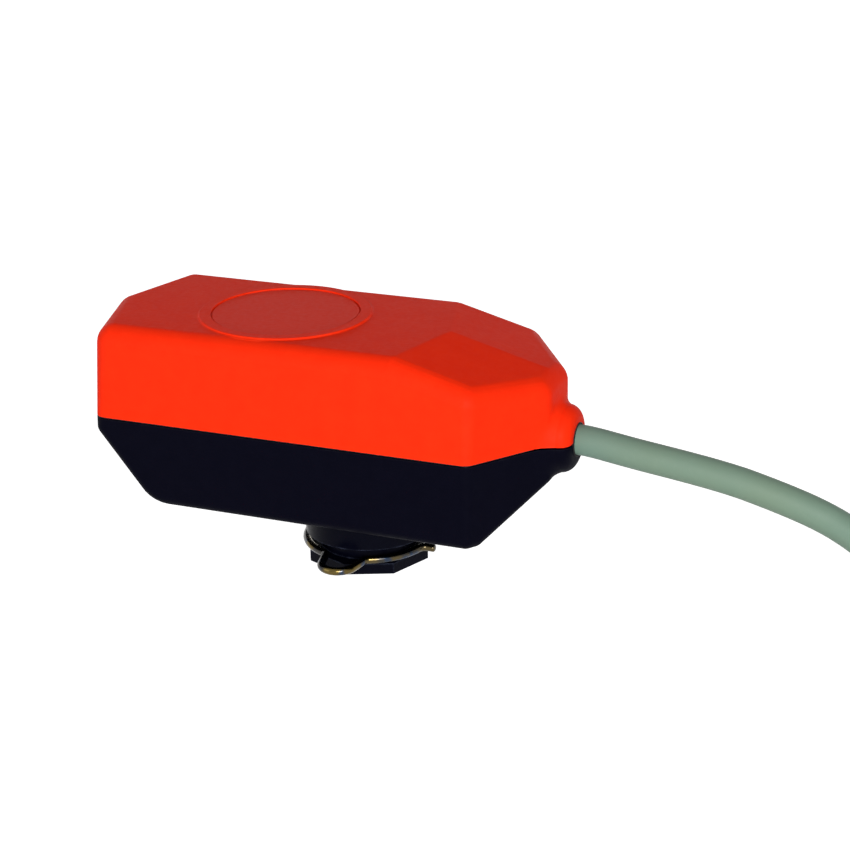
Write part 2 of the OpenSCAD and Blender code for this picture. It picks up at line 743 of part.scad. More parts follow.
// A gear and its pinion in one piece, running on a fixed pin; the pinion hangs below
module second_gear() {
    bore = pin_r + run_gap;
    color("wheat") translate([second_at.x, second_at.y, 0]) difference() {
        union() {
            translate([0, 0, output_z]) with_gap_at(second_bearing + 180, pinion_teeth)
                gear(pinion_teeth, output_module, second_z - output_z + second_face / 2);
            translate([0, 0, second_z]) with_tooth_at(first_bearing)
                gear(second_teeth, second_module, second_face);
        }
        translate([0, 0, output_z - 1]) cylinder(r = bore, h = far);
        translate([0, 0, second_z + second_face - 0.6]) web_pocket(3.4, second_teeth * second_module / 2 - 2.4, 1);
    }
}

module first_gear() {
    bore = pin_r + run_gap;
    pinion_z = second_z - boss_gap;
    color("ivory") translate([first_at.x, first_at.y, 0]) difference() {
        union() {
            translate([0, 0, pinion_z]) with_gap_at(first_bearing + 180, pinion_teeth)
                gear(pinion_teeth, second_module, first_z - pinion_z + first_face / 2);
            translate([0, 0, first_z]) with_tooth_at(motor_bearing) gear(first_teeth, first_module, first_face);
        }
        translate([0, 0, pinion_z - 1]) cylinder(r = bore, h = far);
        translate([0, 0, first_z + first_face - 0.6]) web_pocket(3.4, first_teeth * first_module / 2 - 2.4, 1);
    }
}

module gear_pins() {
    color("silver") for (p = [second_at, first_at])
        translate([p.x, p.y, floor_z - 0.6]) cylinder(r = pin_r, h = plate_top - floor_z + 0.6);
}

// Tabs bent down from the plate, which the lug on the output gear meets at each end of the stroke
module stop_tab(bearing) {
    foot_z = output_z + output_face + boss_gap;
    rotate(bearing) translate([stop_r - stop_w, 0, foot_z])
        cube([stop_w, stop_tab_t, plate_z + plate_t / 2 - foot_z]);
}

module gear_plate() {
    stop_clear = stop_half + 1;
    color("lightsteelblue") difference() {
        union() {
            translate([plate_from, -plate_half, plate_z]) cube([plate_end - plate_from, 2 * plate_half, plate_t]);
            for (p = post_at) {
                translate([p.x, p.y, plate_z]) cylinder(r = post_r, h = plate_t);
                translate([p.x - post_r, p.y > 0 ? 0 : p.y, plate_z]) cube([2 * post_r, abs(p.y), plate_t]);
            }
            stop_tab(stop_from + stroke + stop_clear);
            mirror([0, 1, 0]) stop_tab(stop_clear - stop_from);
        }
        translate([0, 0, plate_z - 1]) cylinder(r = top_journal_r + run_gap, h = plate_t + 2);
        for (p = post_at)
            translate([p.x, p.y, plate_z - 1]) cylinder(r = small_screw_r + 0.1, h = plate_t + 2, $fn = 24);
        for (p = [second_at, first_at])
            translate([p.x, p.y, plate_z - 1]) cylinder(r = pin_r, h = plate_t + 2);
        translate([shaft_at.x, shaft_at.y, plate_z - 1]) cylinder(r = shaft_r + 1.6, h = plate_t + 2);
        for (s = [-1, 1])
            motor_screw_place(s) translate([0, 0, -plate_t - 1])
                cylinder(r = small_screw_r, h = plate_t + 2, $fn = 24);
        for (p = pillar_at)
            translate([p.x, p.y, plate_z - 1]) cylinder(r = small_screw_r, h = plate_t + 2, $fn = 24);
    }
}

module flat_screw(l) {
    cylinder(r = small_head_r, h = small_head_h, $fn = 24);
    translate([0, 0, -l]) cylinder(r = small_screw_r, h = l + skin, $fn = 24);
}

module plate_screws() {
    color("silver") for (p = post_at)
        translate([p.x, p.y, plate_top]) flat_screw(plate_t + post_grip);
}

module motor_screw_place(s) {
    translate([motor_at.x + s * (motor_r + ear_out), motor_at.y, plate_top]) children();
}

module motor_body() {
    color("#b8bcc2") difference() {
        union() {
            translate([motor_at.x, motor_at.y, plate_top]) rotate_extrude($fn = 96)
                polygon([[0, 0], [motor_r, 0], [motor_r, 1], [motor_r - 0.4, 1], [motor_r - 0.4, motor_h - 1],
                    [motor_r - 1.4, motor_h], [0, motor_h]]);
            for (s = [-1, 1])
                motor_screw_place(s) cylinder(r = ear_r, h = 1, $fn = 32);
        }
        for (s = [-1, 1])
            motor_screw_place(s) translate([0, 0, 1]) cylinder(r = ear_r - 0.4, h = motor_h, $fn = 32);
        for (s = [-1, 1])
            motor_screw_place(s) translate([0, 0, -1]) cylinder(r = small_screw_r + 0.1, h = 3, $fn = 24);
        translate([shaft_at.x, shaft_at.y, plate_top - 1]) cylinder(r = shaft_r + run_gap, h = 7);
    }
}

module motor_screws() {
    color("silver") for (s = [-1, 1])
        motor_screw_place(s) translate([0, 0, 1]) flat_screw(small_screw_r, 1.6, 0.9, 1 + plate_t);
}

module motor_shaft() {
    color("silver") translate([shaft_at.x, shaft_at.y, first_z - boss_gap])
        cylinder(r = shaft_r, h = plate_top + 5 - first_z + boss_gap);
}

module motor_pinion() {
    color("goldenrod") translate([shaft_at.x, shaft_at.y, first_z]) difference() {
        with_gap_at(motor_bearing + 180, pinion_teeth) gear(pinion_teeth, first_module, first_face + layer_gap);
        translate([0, 0, -1]) cylinder(r = shaft_r, h = far);
    }
}

module circuit_board() {
    color("darkgreen") difference() {
        translate([board_from, -board_w / 2, board_z]) cube([board_l, board_w, board_t]);
        for (p = screw_at)
            translate([p.x, p.y, board_z - 1]) cylinder(r = screw_boss_r + 0.5, h = board_t + 2);
        for (p = pillar_at)
            translate([p.x, p.y, board_z - 1]) cylinder(r = small_screw_r + 0.1, h = board_t + 2, $fn = 24);
    }
}

module board_pillars() {
    color("silver") for (p = pillar_at)
        translate([p.x, p.y, plate_top]) difference() {
            cylinder(r = pillar_r, h = pillar_h, $fn = 6);
            translate([0, 0, -1]) cylinder(r = small_screw_r, h = pillar_h + 2, $fn = 24);
        }
}

module board_screws() {
    color("silver") for (p = pillar_at)
        translate([p.x, p.y, board_top]) flat_screw(board_t + pillar_h / 2);
}

module board_parts() {
    // relay
    color("royalblue") translate([relay_x, -relay_w / 2, board_top]) cube([relay_l, relay_w, relay_h]);
    // smoothing capacitor
    next_x = relay_x + relay_l + 1;
    color("#30343c") translate([next_x + capacitor_r, capacitor_r + 1, board_top])
        cylinder(r = capacitor_r, h = capacitor_h);
    // surge suppressor
    color("seagreen") translate([next_x, -2 * capacitor_r, board_top])
        cube([1.5 * capacitor_r, capacitor_r, capacitor_h * 0.7]);
    // resistors
    color("tan") for (s = [-1, 1])
        translate([relay_x + relay_l / 2, s * (board_w / 2 - resistor_l / 4), board_top + resistor_l / 6])
            rotate([0, 90, 0]) cylinder(r = resistor_l / 6, h = resistor_l, $fn = 24);
}

module terminal_block() {
    pole = terminal_w / 3;
    color("seagreen") difference() {
        translate([terminal_x, -terminal_w / 2, board_top]) cube([terminal_l, terminal_w, terminal_h]);
        for (i = [-1, 0, 1]) {
            translate([terminal_x + terminal_l / 2, i * pole, board_top + terminal_h - 2.5]) cylinder(r = 1.6, h = 3);
            translate([terminal_x + terminal_l - 3, i * pole, board_top + 2.6]) rotate([0, 90, 0])
                cylinder(r = core_r, h = 4, $fn = 24);
        }
    }
}

module cable_entry() {
    color("#8a9a8a") translate([entry_from, 0, cable_z]) rotate([0, 90, 0])
        cylinder(r = cable_d / 2, h = outlet_end - entry_from);
}

module cable_clamp() {
    color("#e8e4d8") difference() {
        translate([clamp_x - clamp_w / 2, -clamp_half, cable_z + 0.4])
            cube([clamp_w, 2 * clamp_half, cable_d / 2 + clamp_t - 0.4]);
        cable_bore(cable_d / 2);
        for (s = [-1, 1])
            translate([clamp_x, s * clamp_screw_y, cable_z - 1]) cylinder(r = small_screw_r + 0.1, h = far, $fn = 24);
    }
}

module clamp_screws() {
    color("silver") for (s = [-1, 1])
        translate([clamp_x, s * clamp_screw_y, cable_z + cable_d / 2 + clamp_t])
            flat_screw(clamp_t + cable_d / 2 + post_grip);
}

module inner_cores() {
    pole = terminal_w / 3;
    end_x = terminal_x + terminal_l;
    entry_z = board_top + 2.6;
    color("saddlebrown") for (i = [-1, 0, 1]) {
        start = [entry_from, i * core_r * 1.6, cable_z + (i == 0 ? core_r : -core_r) * 0.8];
        bend = [end_x + 3, i * pole, entry_z];
        tube([[end_x - 3, i * pole, entry_z], [end_x + 0.6, i * pole, entry_z], bend + [-1, 0, -0.4],
            bend + [0, 0, -1.6], (bend + start) / 2, start - [1, 0, 0], start], core_r, 8);
    }
}

module motor_leads() {
    lead_r = 0.7;
    from_x = motor_at.x + motor_r - 0.4;
    lead_z = board_top + lead_r;
    color("crimson") for (s = [-1, 1])
        translate([from_x, s * 2.4, lead_z]) rotate([0, 90, 0])
            cylinder(r = lead_r, h = relay_x - 0.2 - from_x, $fn = 24);
}

// Sweeps a round tube along points: one ring of points at each, then the skin between rings
function heading(p, i) =
    let(a = p[max(i - 1, 0)], b = p[min(i + 1, len(p) - 1)]) (b - a) / norm(b - a);
function tube_points(p, r, sides) = [
    for (i = [0 : len(p) - 1])
        let(t = heading(p, i), across = cross([0, 0, 1], t) / norm(cross([0, 0, 1], t)), up = cross(t, across))
        for (k = [0 : sides - 1])
            p[i] + r * (cos(k * 360 / sides) * across + sin(k * 360 / sides) * up)];
function tube_faces(rings, sides) = concat(
    [[for (k = [0 : sides - 1]) k]],
    [for (i = [0 : rings - 2]) for (k = [0 : sides - 1])
        let(a = i * sides + k, b = i * sides + (k + 1) % sides) [a, a + sides, b + sides, b]],
    [[for (k = [sides - 1 : -1 : 0]) (rings - 1) * sides + k]]);

module tube(points, r, sides) {
    polyhedron(tube_points(points, r, sides), tube_faces(len(points), sides));
}

module cable() {
    color("#8a9a8a") tube(cable_points, cable_d / 2, 12);
}

// The last turn of the coil stops short for the free end
module cable_coil() {
    color("#8a9a8a") translate([coil_at.x, coil_at.y, coil_bottom]) {
        difference() {
            rotate_extrude($fn = 96) translate([coil_r - cable_d / 2, 0]) square([cable_d, coil_h]);
            rotate(end_gap[0]) rotate_extrude(angle = end_gap[1] - end_gap[0], $fn = 96)
                translate([coil_r - cable_d, coil_h - cable_d]) square([2 * cable_d, 2 * cable_d]);
        }
    }
}

module cable_tie() {
    color("#202020") for (bearing = tie_bearings)
        translate([coil_at.x, coil_at.y, 0]) rotate(bearing) translate([coil_r, 0, 0]) difference() {
            translate([-cable_d / 2 - tie_t, -tie_w / 2, 0]) cube([cable_d + 2 * tie_t, tie_w, coil_h + 2 * tie_t]);
            translate([-cable_d / 2, -tie_w, tie_t]) cube([cable_d, 2 * tie_w, coil_h]);
        }
}

// The free end: three stripped cores that lie on the turn below, each with a crimped ferrule
end_z = coil_bottom + coil_h - cable_d + core_r;
core_sweep = 26;
ferrule_sweep = 11;

module end_cores(r, z, from, sweep, thick) {
    translate([coil_at.x, coil_at.y, z]) rotate(from) rotate_extrude(angle = sweep, $fn = 96)
        translate([r, 0]) circle(r = thick, $fn = 16);
}

module cable_cores() {
    color("saddlebrown") for (i = [-1, 0, 1])
        end_cores(coil_r + i * 2.3, end_z, end_gap[0], core_sweep, core_r);
}

module cable_ferrules() {
    color("silver") for (i = [-1, 0, 1])
        end_cores(coil_r + i * 2.3, end_z, end_gap[0] + core_sweep, ferrule_sweep, 0.75);
}

cover();
badge_disc();
base();
parting_seal();
collar();
collar_screws();
retaining_clip();
housing_screws();
output_coupling();
shaft_seal();
output_gear();
output_circlip();
second_gear();
first_gear();
gear_pins();
gear_plate();
plate_screws();
motor_body();
motor_screws();
motor_shaft();
motor_pinion();
circuit_board();
board_pillars();
board_screws();
board_parts();
terminal_block();
cable_entry();
cable_clamp();
clamp_screws();
inner_cores();
motor_leads();
cable();
cable_coil();
cable_tie();
cable_cores();
cable_ferrules();
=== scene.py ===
# Looks of the clip-on rotary valve actuator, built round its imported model
import math
import bpy
import bmesh
from mathutils import Matrix, Vector
from mathutils.bvhtree import BVHTree


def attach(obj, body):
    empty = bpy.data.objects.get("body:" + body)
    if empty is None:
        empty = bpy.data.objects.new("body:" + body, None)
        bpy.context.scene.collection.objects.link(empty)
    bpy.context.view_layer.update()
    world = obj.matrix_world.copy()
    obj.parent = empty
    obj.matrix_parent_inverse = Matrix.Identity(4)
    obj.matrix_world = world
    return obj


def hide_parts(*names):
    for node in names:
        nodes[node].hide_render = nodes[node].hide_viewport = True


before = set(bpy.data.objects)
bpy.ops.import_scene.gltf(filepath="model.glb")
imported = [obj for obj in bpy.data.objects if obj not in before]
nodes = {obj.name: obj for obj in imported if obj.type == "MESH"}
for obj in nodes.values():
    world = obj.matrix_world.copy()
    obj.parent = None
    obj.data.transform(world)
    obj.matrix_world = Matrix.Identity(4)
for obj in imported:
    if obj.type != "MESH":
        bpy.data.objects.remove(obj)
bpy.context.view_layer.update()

mm = 0.001
print("frame loaded:", len(nodes), "nodes")

camera = {
    "place": (165.1, -378.4, 191.2),     # mm
    "back": (0.3455, -0.8649, 0.3641),   # from the object towards the camera
    "roll": -0.88,                       # degrees
    "lens": 85.1,                        # mm
    "clip": (0.01, 30),                  # metres
}


def makeCamera(c):
    data = bpy.data.cameras.new("camera")
    data.lens = c["lens"]
    data.clip_start, data.clip_end = c["clip"]
    cam = bpy.data.objects.new("camera", data)
    back = Vector(c["back"]).normalized()
    across = Vector((0, 0, 1)).cross(back).normalized()
    up = back.cross(across)
    turn = Matrix((across, up, back)).transposed().to_4x4()
    roll = Matrix.Rotation(math.radians(c["roll"]), 4, "Z")
    cam.matrix_world = Matrix.Translation(Vector(c["place"]) * mm) @ turn @ roll
    bpy.context.scene.collection.objects.link(cam)
    bpy.context.scene.camera = cam


makeCamera(camera)
print("camera placed")


# Node helpers: each adds one node to a material and gives back its output
def startMaterial(name, colour, roughness, metallic=0.0):
    mat = bpy.data.materials.new(name)
    mat.use_nodes = True
    shader = mat.node_tree.nodes["Principled BSDF"]
    shader.inputs["Base Color"].default_value = (*colour, 1)
    shader.inputs["Roughness"].default_value = roughness
    shader.inputs["Metallic"].default_value = metallic
    return mat, shader


def place(mat, stretch=(1, 1, 1)):
    tree = mat.node_tree
    where = tree.nodes.new("ShaderNodeTexCoord")
    mapping = tree.nodes.new("ShaderNodeMapping")
    mapping.inputs["Scale"].default_value = stretch
    tree.links.new(where.outputs["Object"], mapping.inputs["Vector"])
    return mapping.outputs["Vector"]


def noise(mat, where, scale, detail=3.0, rough=0.5):
    n = mat.node_tree.nodes.new("ShaderNodeTexNoise")
    n.inputs["Scale"].default_value = scale
    n.inputs["Detail"].default_value = detail
    n.inputs["Roughness"].default_value = rough
    mat.node_tree.links.new(where, n.inputs["Vector"])
    return n.outputs["Fac"]


def span(mat, value, low, high, fromLow=0.3, fromHigh=0.7):
    n = mat.node_tree.nodes.new("ShaderNodeMapRange")
    n.inputs["From Min"].default_value = fromLow
    n.inputs["From Max"].default_value = fromHigh
    n.inputs["To Min"].default_value = low
    n.inputs["To Max"].default_value = high
    mat.node_tree.links.new(value, n.inputs["Value"])
    return n.outputs["Result"]


def mixColour(mat, factor, first, second):
    tree = mat.node_tree
    n = tree.nodes.new("ShaderNodeMix")
    n.data_type = "RGBA"
    for socket, colour in ((n.inputs[6], first), (n.inputs[7], second)):    # its two colour sockets
        if isinstance(colour, tuple):
            socket.default_value = (*colour, 1)
        else:
            tree.links.new(colour, socket)
    tree.links.new(factor, n.inputs["Factor"])
    return n.outputs[2]     # its colour


def bump(mat, height, strength, depth, under=None):
    tree = mat.node_tree
    n = tree.nodes.new("ShaderNodeBump")
    n.inputs["Strength"].default_value = strength
    n.inputs["Distance"].default_value = depth
    tree.links.new(height, n.inputs["Height"])
    if under is not None:
        tree.links.new(under, n.inputs["Normal"])
    return n.outputs["Normal"]


# How far a rounded copy of the normal turns from the true one: 0 on a face, 1 on an edge, which gets rubbed
# wear and a painted highlight line
def edgeWearAndHighlight(mat, edge):
    tree = mat.node_tree
    rounded = tree.nodes.new("ShaderNodeBevel")
    rounded.samples = edge["samples"]
    rounded.inputs["Radius"].default_value = edge["radius"] * mm
    true = tree.nodes.new("ShaderNodeNewGeometry")
    dot = tree.nodes.new("ShaderNodeVectorMath")
    dot.operation = "DOT_PRODUCT"
    tree.links.new(rounded.outputs["Normal"], dot.inputs[0])
    tree.links.new(true.outputs["Normal"], dot.inputs[1])
    return span(mat, dot.outputs["Value"], 1, 0, edge["from"], edge["to"])


# Moulded plastic with a fine eroded grain, faint mottling, and edges lightened partly as rubbed wear and
# partly as a painted highlight
moulded = {
    "mottle": {"scale": 260, "detail": 5, "rough": 0.65, "from": 0.2, "to": 0.8},
    "edge": {"radius": 0.5, "samples": 4, "from": 0.9, "to": 0.99},     # radius in mm
    "rubbingAndHighlight": {"scale": 600, "least": 0.1, "most": 0.7, "from": 0.4, "to": 0.7},
    "sheen": {"scale": 900, "detail": 4, "less": 0.05, "more": 0.07},
    "coarse": {"detail": 2, "share": 0.5, "depth": 0.00008},
    "fine": {"detail": 4, "rough": 0.6, "depth": 0.00004},
}

# Noise scales and strengths of the moulded grains
grains = {
    "shell": {"coarse": 1100, "fine": 3800, "strength": 0.32},
    "blackShell": {"coarse": 1100, "fine": 3800, "strength": 0.28},
    "badge": {"coarse": 500, "fine": 5200, "strength": 0.08},
    "collar": {"coarse": 300, "fine": 2500, "strength": 0.06},
    "gear": {"coarse": 600, "fine": 3000, "strength": 0.06},
    "clamp": {"coarse": 600, "fine": 3000, "strength": 0.12},
    "board": {"coarse": 700, "fine": 2600, "strength": 0.1},
    "part": {"coarse": 700, "fine": 3000, "strength": 0.1},
    "tie": {"coarse": 900, "fine": 3000, "strength": 0.2},
    "core": {"coarse": 900, "fine": 3000, "strength": 0.08},
}


def mouldedPlastic(name, colour, deep, rubbedAndHighlit, roughness, grain, specular=0.5):
    m, g = moulded, grains[grain]
    mat, shader = startMaterial(name, colour, roughness)
    where = place(mat)
    links = mat.node_tree.links
    mottled = noise(mat, where, m["mottle"]["scale"], m["mottle"]["detail"], m["mottle"]["rough"])
    mottled = span(mat, mottled, 0, 1, m["mottle"]["from"], m["mottle"]["to"])
    body = mixColour(mat, mottled, colour, deep)
    # edges lightened in patches: partly rubbed wear, partly a painted highlight line along them
    wearAndHighlight = mat.node_tree.nodes.new("ShaderNodeMath")
    wearAndHighlight.operation = "MULTIPLY"
    links.new(edgeWearAndHighlight(mat, m["edge"]), wearAndHighlight.inputs[0])
    rubAndHighlight = m["rubbingAndHighlight"]
    patches = noise(mat, where, rubAndHighlight["scale"])
    links.new(span(mat, patches, rubAndHighlight["least"], rubAndHighlight["most"], rubAndHighlight["from"], rubAndHighlight["to"]), wearAndHighlight.inputs[1])
    links.new(mixColour(mat, wearAndHighlight.outputs[0], body, rubbedAndHighlit), shader.inputs["Base Color"])
    sheen = noise(mat, where, m["sheen"]["scale"], m["sheen"]["detail"])
    sheen = span(mat, sheen, roughness - m["sheen"]["less"], roughness + m["sheen"]["more"])
    links.new(sheen, shader.inputs["Roughness"])
    coarse = noise(mat, where, g["coarse"], m["coarse"]["detail"])
    coarse = bump(mat, coarse, g["strength"] * m["coarse"]["share"], m["coarse"]["depth"])
    fine = noise(mat, where, g["fine"], m["fine"]["detail"], m["fine"]["rough"])
    links.new(bump(mat, fine, g["strength"], m["fine"]["depth"], coarse), shader.inputs["Normal"])
    shader.inputs["Specular IOR Level"].default_value = specular
    return mat


# Drawn, turned or plated metal: streaks run along the axis with the smallest stretch
metal = {
    "streak": {"detail": 5, "rough": 0.6, "less": 0.75, "more": 1.35, "depth": 0.00003},
    "cloud": 90,        # noise scale of the slow change of colour
    "specular": 0.5,
}


def metalFinish(name, colour, shade, roughness, stretch, scale, strength=0.15):
    mat, shader = startMaterial(name, colour, roughness, metallic=1.0)
    links = mat.node_tree.links
    s = metal["streak"]
    streak = noise(mat, place(mat, stretch), scale, s["detail"], s["rough"])
    cloud = span(mat, noise(mat, place(mat), metal["cloud"]), 0, 1)
    links.new(mixColour(mat, cloud, colour, shade), shader.inputs["Base Color"])
    shine = span(mat, streak, roughness * s["less"], roughness * s["more"])
    links.new(shine, shader.inputs["Roughness"])
    links.new(bump(mat, streak, strength, s["depth"]), shader.inputs["Normal"])
    shader.inputs["Specular IOR Level"].default_value = metal["specular"]
    return mat


# Colour, deeper mottling, edge colour (rubbed wear and painted highlight), roughness and grain, and
# specular level where it is low
plastics = {
    "shellOrange": ((0.84, 0.026, 0.0035), (0.8, 0.02, 0.0025), (0.9, 0.045, 0.012), 0.55, "shell", 0.04),
    "badgeRed": ((0.77, 0.024, 0.005), (0.74, 0.022, 0.004), (0.8, 0.05, 0.02), 0.5, "badge", 0.035),
    "shellBlack": ((0.0013, 0.0013, 0.0045), (0.002, 0.002, 0.006), (0.01, 0.01, 0.016),
                   0.5, "blackShell", 0.015),
    "sealRubber": ((0.006, 0.006, 0.007), (0.009, 0.009, 0.01), (0.02, 0.02, 0.02), 0.8, "shell", 0.2),
    # the collar's edge colour, far lighter and bluer than its black body, is a painted highlight line along
    # its ring edges
    "collarBlack": ((0.0008, 0.001, 0.004), (0.0014, 0.0016, 0.005), (0.05, 0.06, 0.1),
                    0.25, "collar", 0.03),
    "acetal": ((0.72, 0.69, 0.6), (0.68, 0.64, 0.55), (0.8, 0.77, 0.7), 0.38, "gear"),
    "clampNylon": ((0.6, 0.57, 0.5), (0.55, 0.52, 0.45), (0.7, 0.67, 0.6), 0.45, "clamp"),
    "boardGreen": ((0.012, 0.11, 0.04), (0.02, 0.16, 0.06), (0.3, 0.3, 0.2), 0.3, "board"),
    "componentBlue": ((0.03, 0.09, 0.36), (0.025, 0.075, 0.3), (0.1, 0.16, 0.4), 0.35, "part"),
    "terminalGreen": ((0.03, 0.24, 0.12), (0.025, 0.2, 0.1), (0.1, 0.3, 0.2), 0.4, "part"),
    "tieBlack": ((0.01, 0.01, 0.01), (0.015, 0.015, 0.015), (0.04, 0.04, 0.04), 0.5, "tie"),
    "coreBrown": ((0.12, 0.045, 0.018), (0.1, 0.038, 0.016), (0.2, 0.1, 0.05), 0.35, "core"),
    "coreBlue": ((0.01, 0.12, 0.4), (0.01, 0.1, 0.34), (0.1, 0.2, 0.45), 0.35, "core"),
    "coreBlack": ((0.012, 0.012, 0.013), (0.016, 0.016, 0.017), (0.05, 0.05, 0.05), 0.35, "core"),
}

# Colour, darker clouds, roughness, stretch and noise scale, and bump strength where it is high
metals = {
    "zincSteel": ((0.6, 0.61, 0.62), (0.5, 0.51, 0.54), 0.3, (1, 1, 1), 700),
    "plateSteel": ((0.55, 0.56, 0.58), (0.47, 0.48, 0.5), 0.36, (0.06, 1, 1), 900),
    "motorCan": ((0.58, 0.59, 0.61), (0.5, 0.51, 0.53), 0.32, (1, 1, 0.05), 900),
    "brassTurned": ((0.66, 0.46, 0.17), (0.58, 0.4, 0.14), 0.26, (0.05, 0.05, 1), 1500),
    "ferruleTin": ((0.66, 0.66, 0.68), (0.55, 0.55, 0.57), 0.28, (1, 1, 1), 1500, 0.3),
}

finish = {}
for finishName, values in plastics.items():
    finish[finishName] = mouldedPlastic(finishName, *values)
for finishName, values in metals.items():
    finish[finishName] = metalFinish(finishName, *values)


# Spring wire: drawn bright, yet given a dark colour as painted shade for dark reflections, with straw and
# blue tints left by the heat of its bends
springWire = {
    # dark colour: painted shade that stands in for reflections of dark surroundings
    "colour": (0.045, 0.043, 0.04),
    "straw": {"colour": (0.11, 0.08, 0.026), "scale": 150, "detail": 2, "most": 1, "from": 0.5, "to": 0.66},
    "blue": {"colour": (0.02, 0.04, 0.08), "scale": 240, "detail": 2, "most": 0.9, "from": 0.5, "to": 0.6},
    "roughness": 0.17,
    "sheen": {"scale": 1500, "detail": 4, "less": 0.05, "more": 0.1},
    "grain": {"scale": 2600, "strength": 0.12, "depth": 0.00002},
}


def makeSpringWire(w):
    mat, shader = startMaterial("springWire", w["colour"], w["roughness"], metallic=1.0)
    links = mat.node_tree.links
    where = place(mat)
    tint = w["colour"]
    for heat in (w["straw"], w["blue"]):
        patches = noise(mat, where, heat["scale"], heat["detail"])
        patches = span(mat, patches, 0, heat["most"], heat["from"], heat["to"])
        tint = mixColour(mat, patches, tint, heat["colour"])
    links.new(tint, shader.inputs["Base Color"])
    sheen = noise(mat, where, w["sheen"]["scale"], w["sheen"]["detail"])
    sheen = span(mat, sheen, w["roughness"] - w["sheen"]["less"], w["roughness"] + w["sheen"]["more"])
    links.new(sheen, shader.inputs["Roughness"])
    grain = noise(mat, where, w["grain"]["scale"])
    links.new(bump(mat, grain, w["grain"]["strength"], w["grain"]["depth"]), shader.inputs["Normal"])
    return mat


# Cable sheath: soft vinyl with a faint cooler and warmer drift along it, and a little dust
cableSheath = {
    "colour": (0.134, 0.218, 0.18),
    "warm": (0.155, 0.218, 0.155),
    "drift": {"scale": 25, "detail": 2},
    "dust": {"colour": (0.26, 0.32, 0.26), "scale": 700, "detail": 5, "rough": 0.7,
             "most": 0.12, "from": 0.52, "to": 0.8},
    "roughness": 0.5,
    "sheen": {"scale": 350, "detail": 4, "less": 0.04, "more": 0.08},
    "waves": {"scale": 220, "detail": 2, "strength": 0.12, "depth": 0.00012},
    "grain": {"scale": 2400, "detail": 3, "strength": 0.1, "depth": 0.00003},
    "specular": 0.16,
}


def makeCableSheath(s):
    mat, shader = startMaterial("cableSheath", s["colour"], s["roughness"])
    links = mat.node_tree.links
    where = place(mat)
    drift = span(mat, noise(mat, where, s["drift"]["scale"], s["drift"]["detail"]), 0, 1)
    drift = mixColour(mat, drift, s["colour"], s["warm"])
    dust = s["dust"]
    specks = noise(mat, where, dust["scale"], dust["detail"], dust["rough"])
    specks = span(mat, specks, 0, dust["most"], dust["from"], dust["to"])
    links.new(mixColour(mat, specks, drift, dust["colour"]), shader.inputs["Base Color"])
    sheen = noise(mat, where, s["sheen"]["scale"], s["sheen"]["detail"])
    sheen = span(mat, sheen, s["roughness"] - s["sheen"]["less"], s["roughness"] + s["sheen"]["more"])
    links.new(sheen, shader.inputs["Roughness"])
    surface = None
    for relief in (s["waves"], s["grain"]):
        height = noise(mat, where, relief["scale"], relief["detail"])
        surface = bump(mat, height, relief["strength"], relief["depth"], surface)
    links.new(surface, shader.inputs["Normal"])
    shader.inputs["Specular IOR Level"].default_value = s["specular"]
    return mat


finish["springWire"] = makeSpringWire(springWire)
finish["cableSheath"] = makeCableSheath(cableSheath)
print("finishes made:", len(finish))


# Shape helpers, all in millimetres until a mesh is finished
def link(obj, mat, body):
    bpy.context.scene.collection.objects.link(obj)
    obj.data.materials.append(finish[mat])
    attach(obj, body)
    return obj


def meshFrom(bm, name, sharp=35):
    bmesh.ops.scale(bm, vec=(mm, mm, mm), verts=bm.verts)
    bmesh.ops.recalc_face_normals(bm, faces=bm.faces)
    mesh = bpy.data.meshes.new(name)
    bm.to_mesh(mesh)
    bm.free()
    mesh.shade_smooth()
    mesh.set_sharp_from_angle(angle=math.radians(sharp))
    return bpy.data.objects.new(name, mesh)


# Skins a row of rings: a closed row comes back to its first ring, an open one gets two end caps
def skinRings(bm, rings, closed=False):
    loops = [[bm.verts.new(p) for p in ring] for ring in rings]
    for a, b in zip(loops, loops[1:] + loops[:1] if closed else loops[1:]):
        for k in range(len(a)):
            n = (k + 1) % len(a)
            bm.faces.new((a[k], a[n], b[n], b[k]))
    if not closed:
        bm.faces.new(list(reversed(loops[0])))
        bm.faces.new(loops[-1])


# Sweeps a round tube along points; radii may change along it, and ends may be rounded
def sweep(bm, points, radius, sides, roundEnds=0.0):
    points = [Vector(p) for p in points]
    radii = radius if isinstance(radius, list) else [radius] * len(points)
    if roundEnds:
        head = (points[0] - points[1]).normalized()
        tail = (points[-1] - points[-2]).normalized()
        angles = [math.radians(a) for a in (8, 30, 52, 72)]     # round each end, from its tip
        steps = [(roundEnds * (1 - math.cos(a)), math.sin(a)) for a in angles]
        frontPoints = [points[0] - head * s for s, f in steps]
        backPoints = [points[-1] - tail * s for s, f in reversed(steps)]
        frontRadii = [radii[0] - roundEnds * (1 - f) for s, f in steps]
        backRadii = [radii[-1] - roundEnds * (1 - f) for s, f in reversed(steps)]
        first = points[0] - head * roundEnds
        last = points[-1] - tail * roundEnds
        points = frontPoints + [first] + points[1:-1] + [last] + backPoints
        radii = frontRadii + [radii[0]] + radii[1:-1] + [radii[-1]] + backRadii
    across = None
    rings = []
    for i, p in enumerate(points):
        ahead = (points[min(i + 1, len(points) - 1)] - points[max(i - 1, 0)]).normalized()
        if across is None:
            across = ahead.cross(Vector((0, 0, 1)))
            if across.length < 0.1:     # the sweep starts straight up or down
                across = ahead.cross(Vector((0, 1, 0)))
        across = (across - ahead * across.dot(ahead)).normalized()
        up = ahead.cross(across)
        rings.append([p + (across * math.cos(t) + up * math.sin(t)) * radii[i]
                      for t in (2 * math.pi * k / sides for k in range(sides))])
    skinRings(bm, rings)


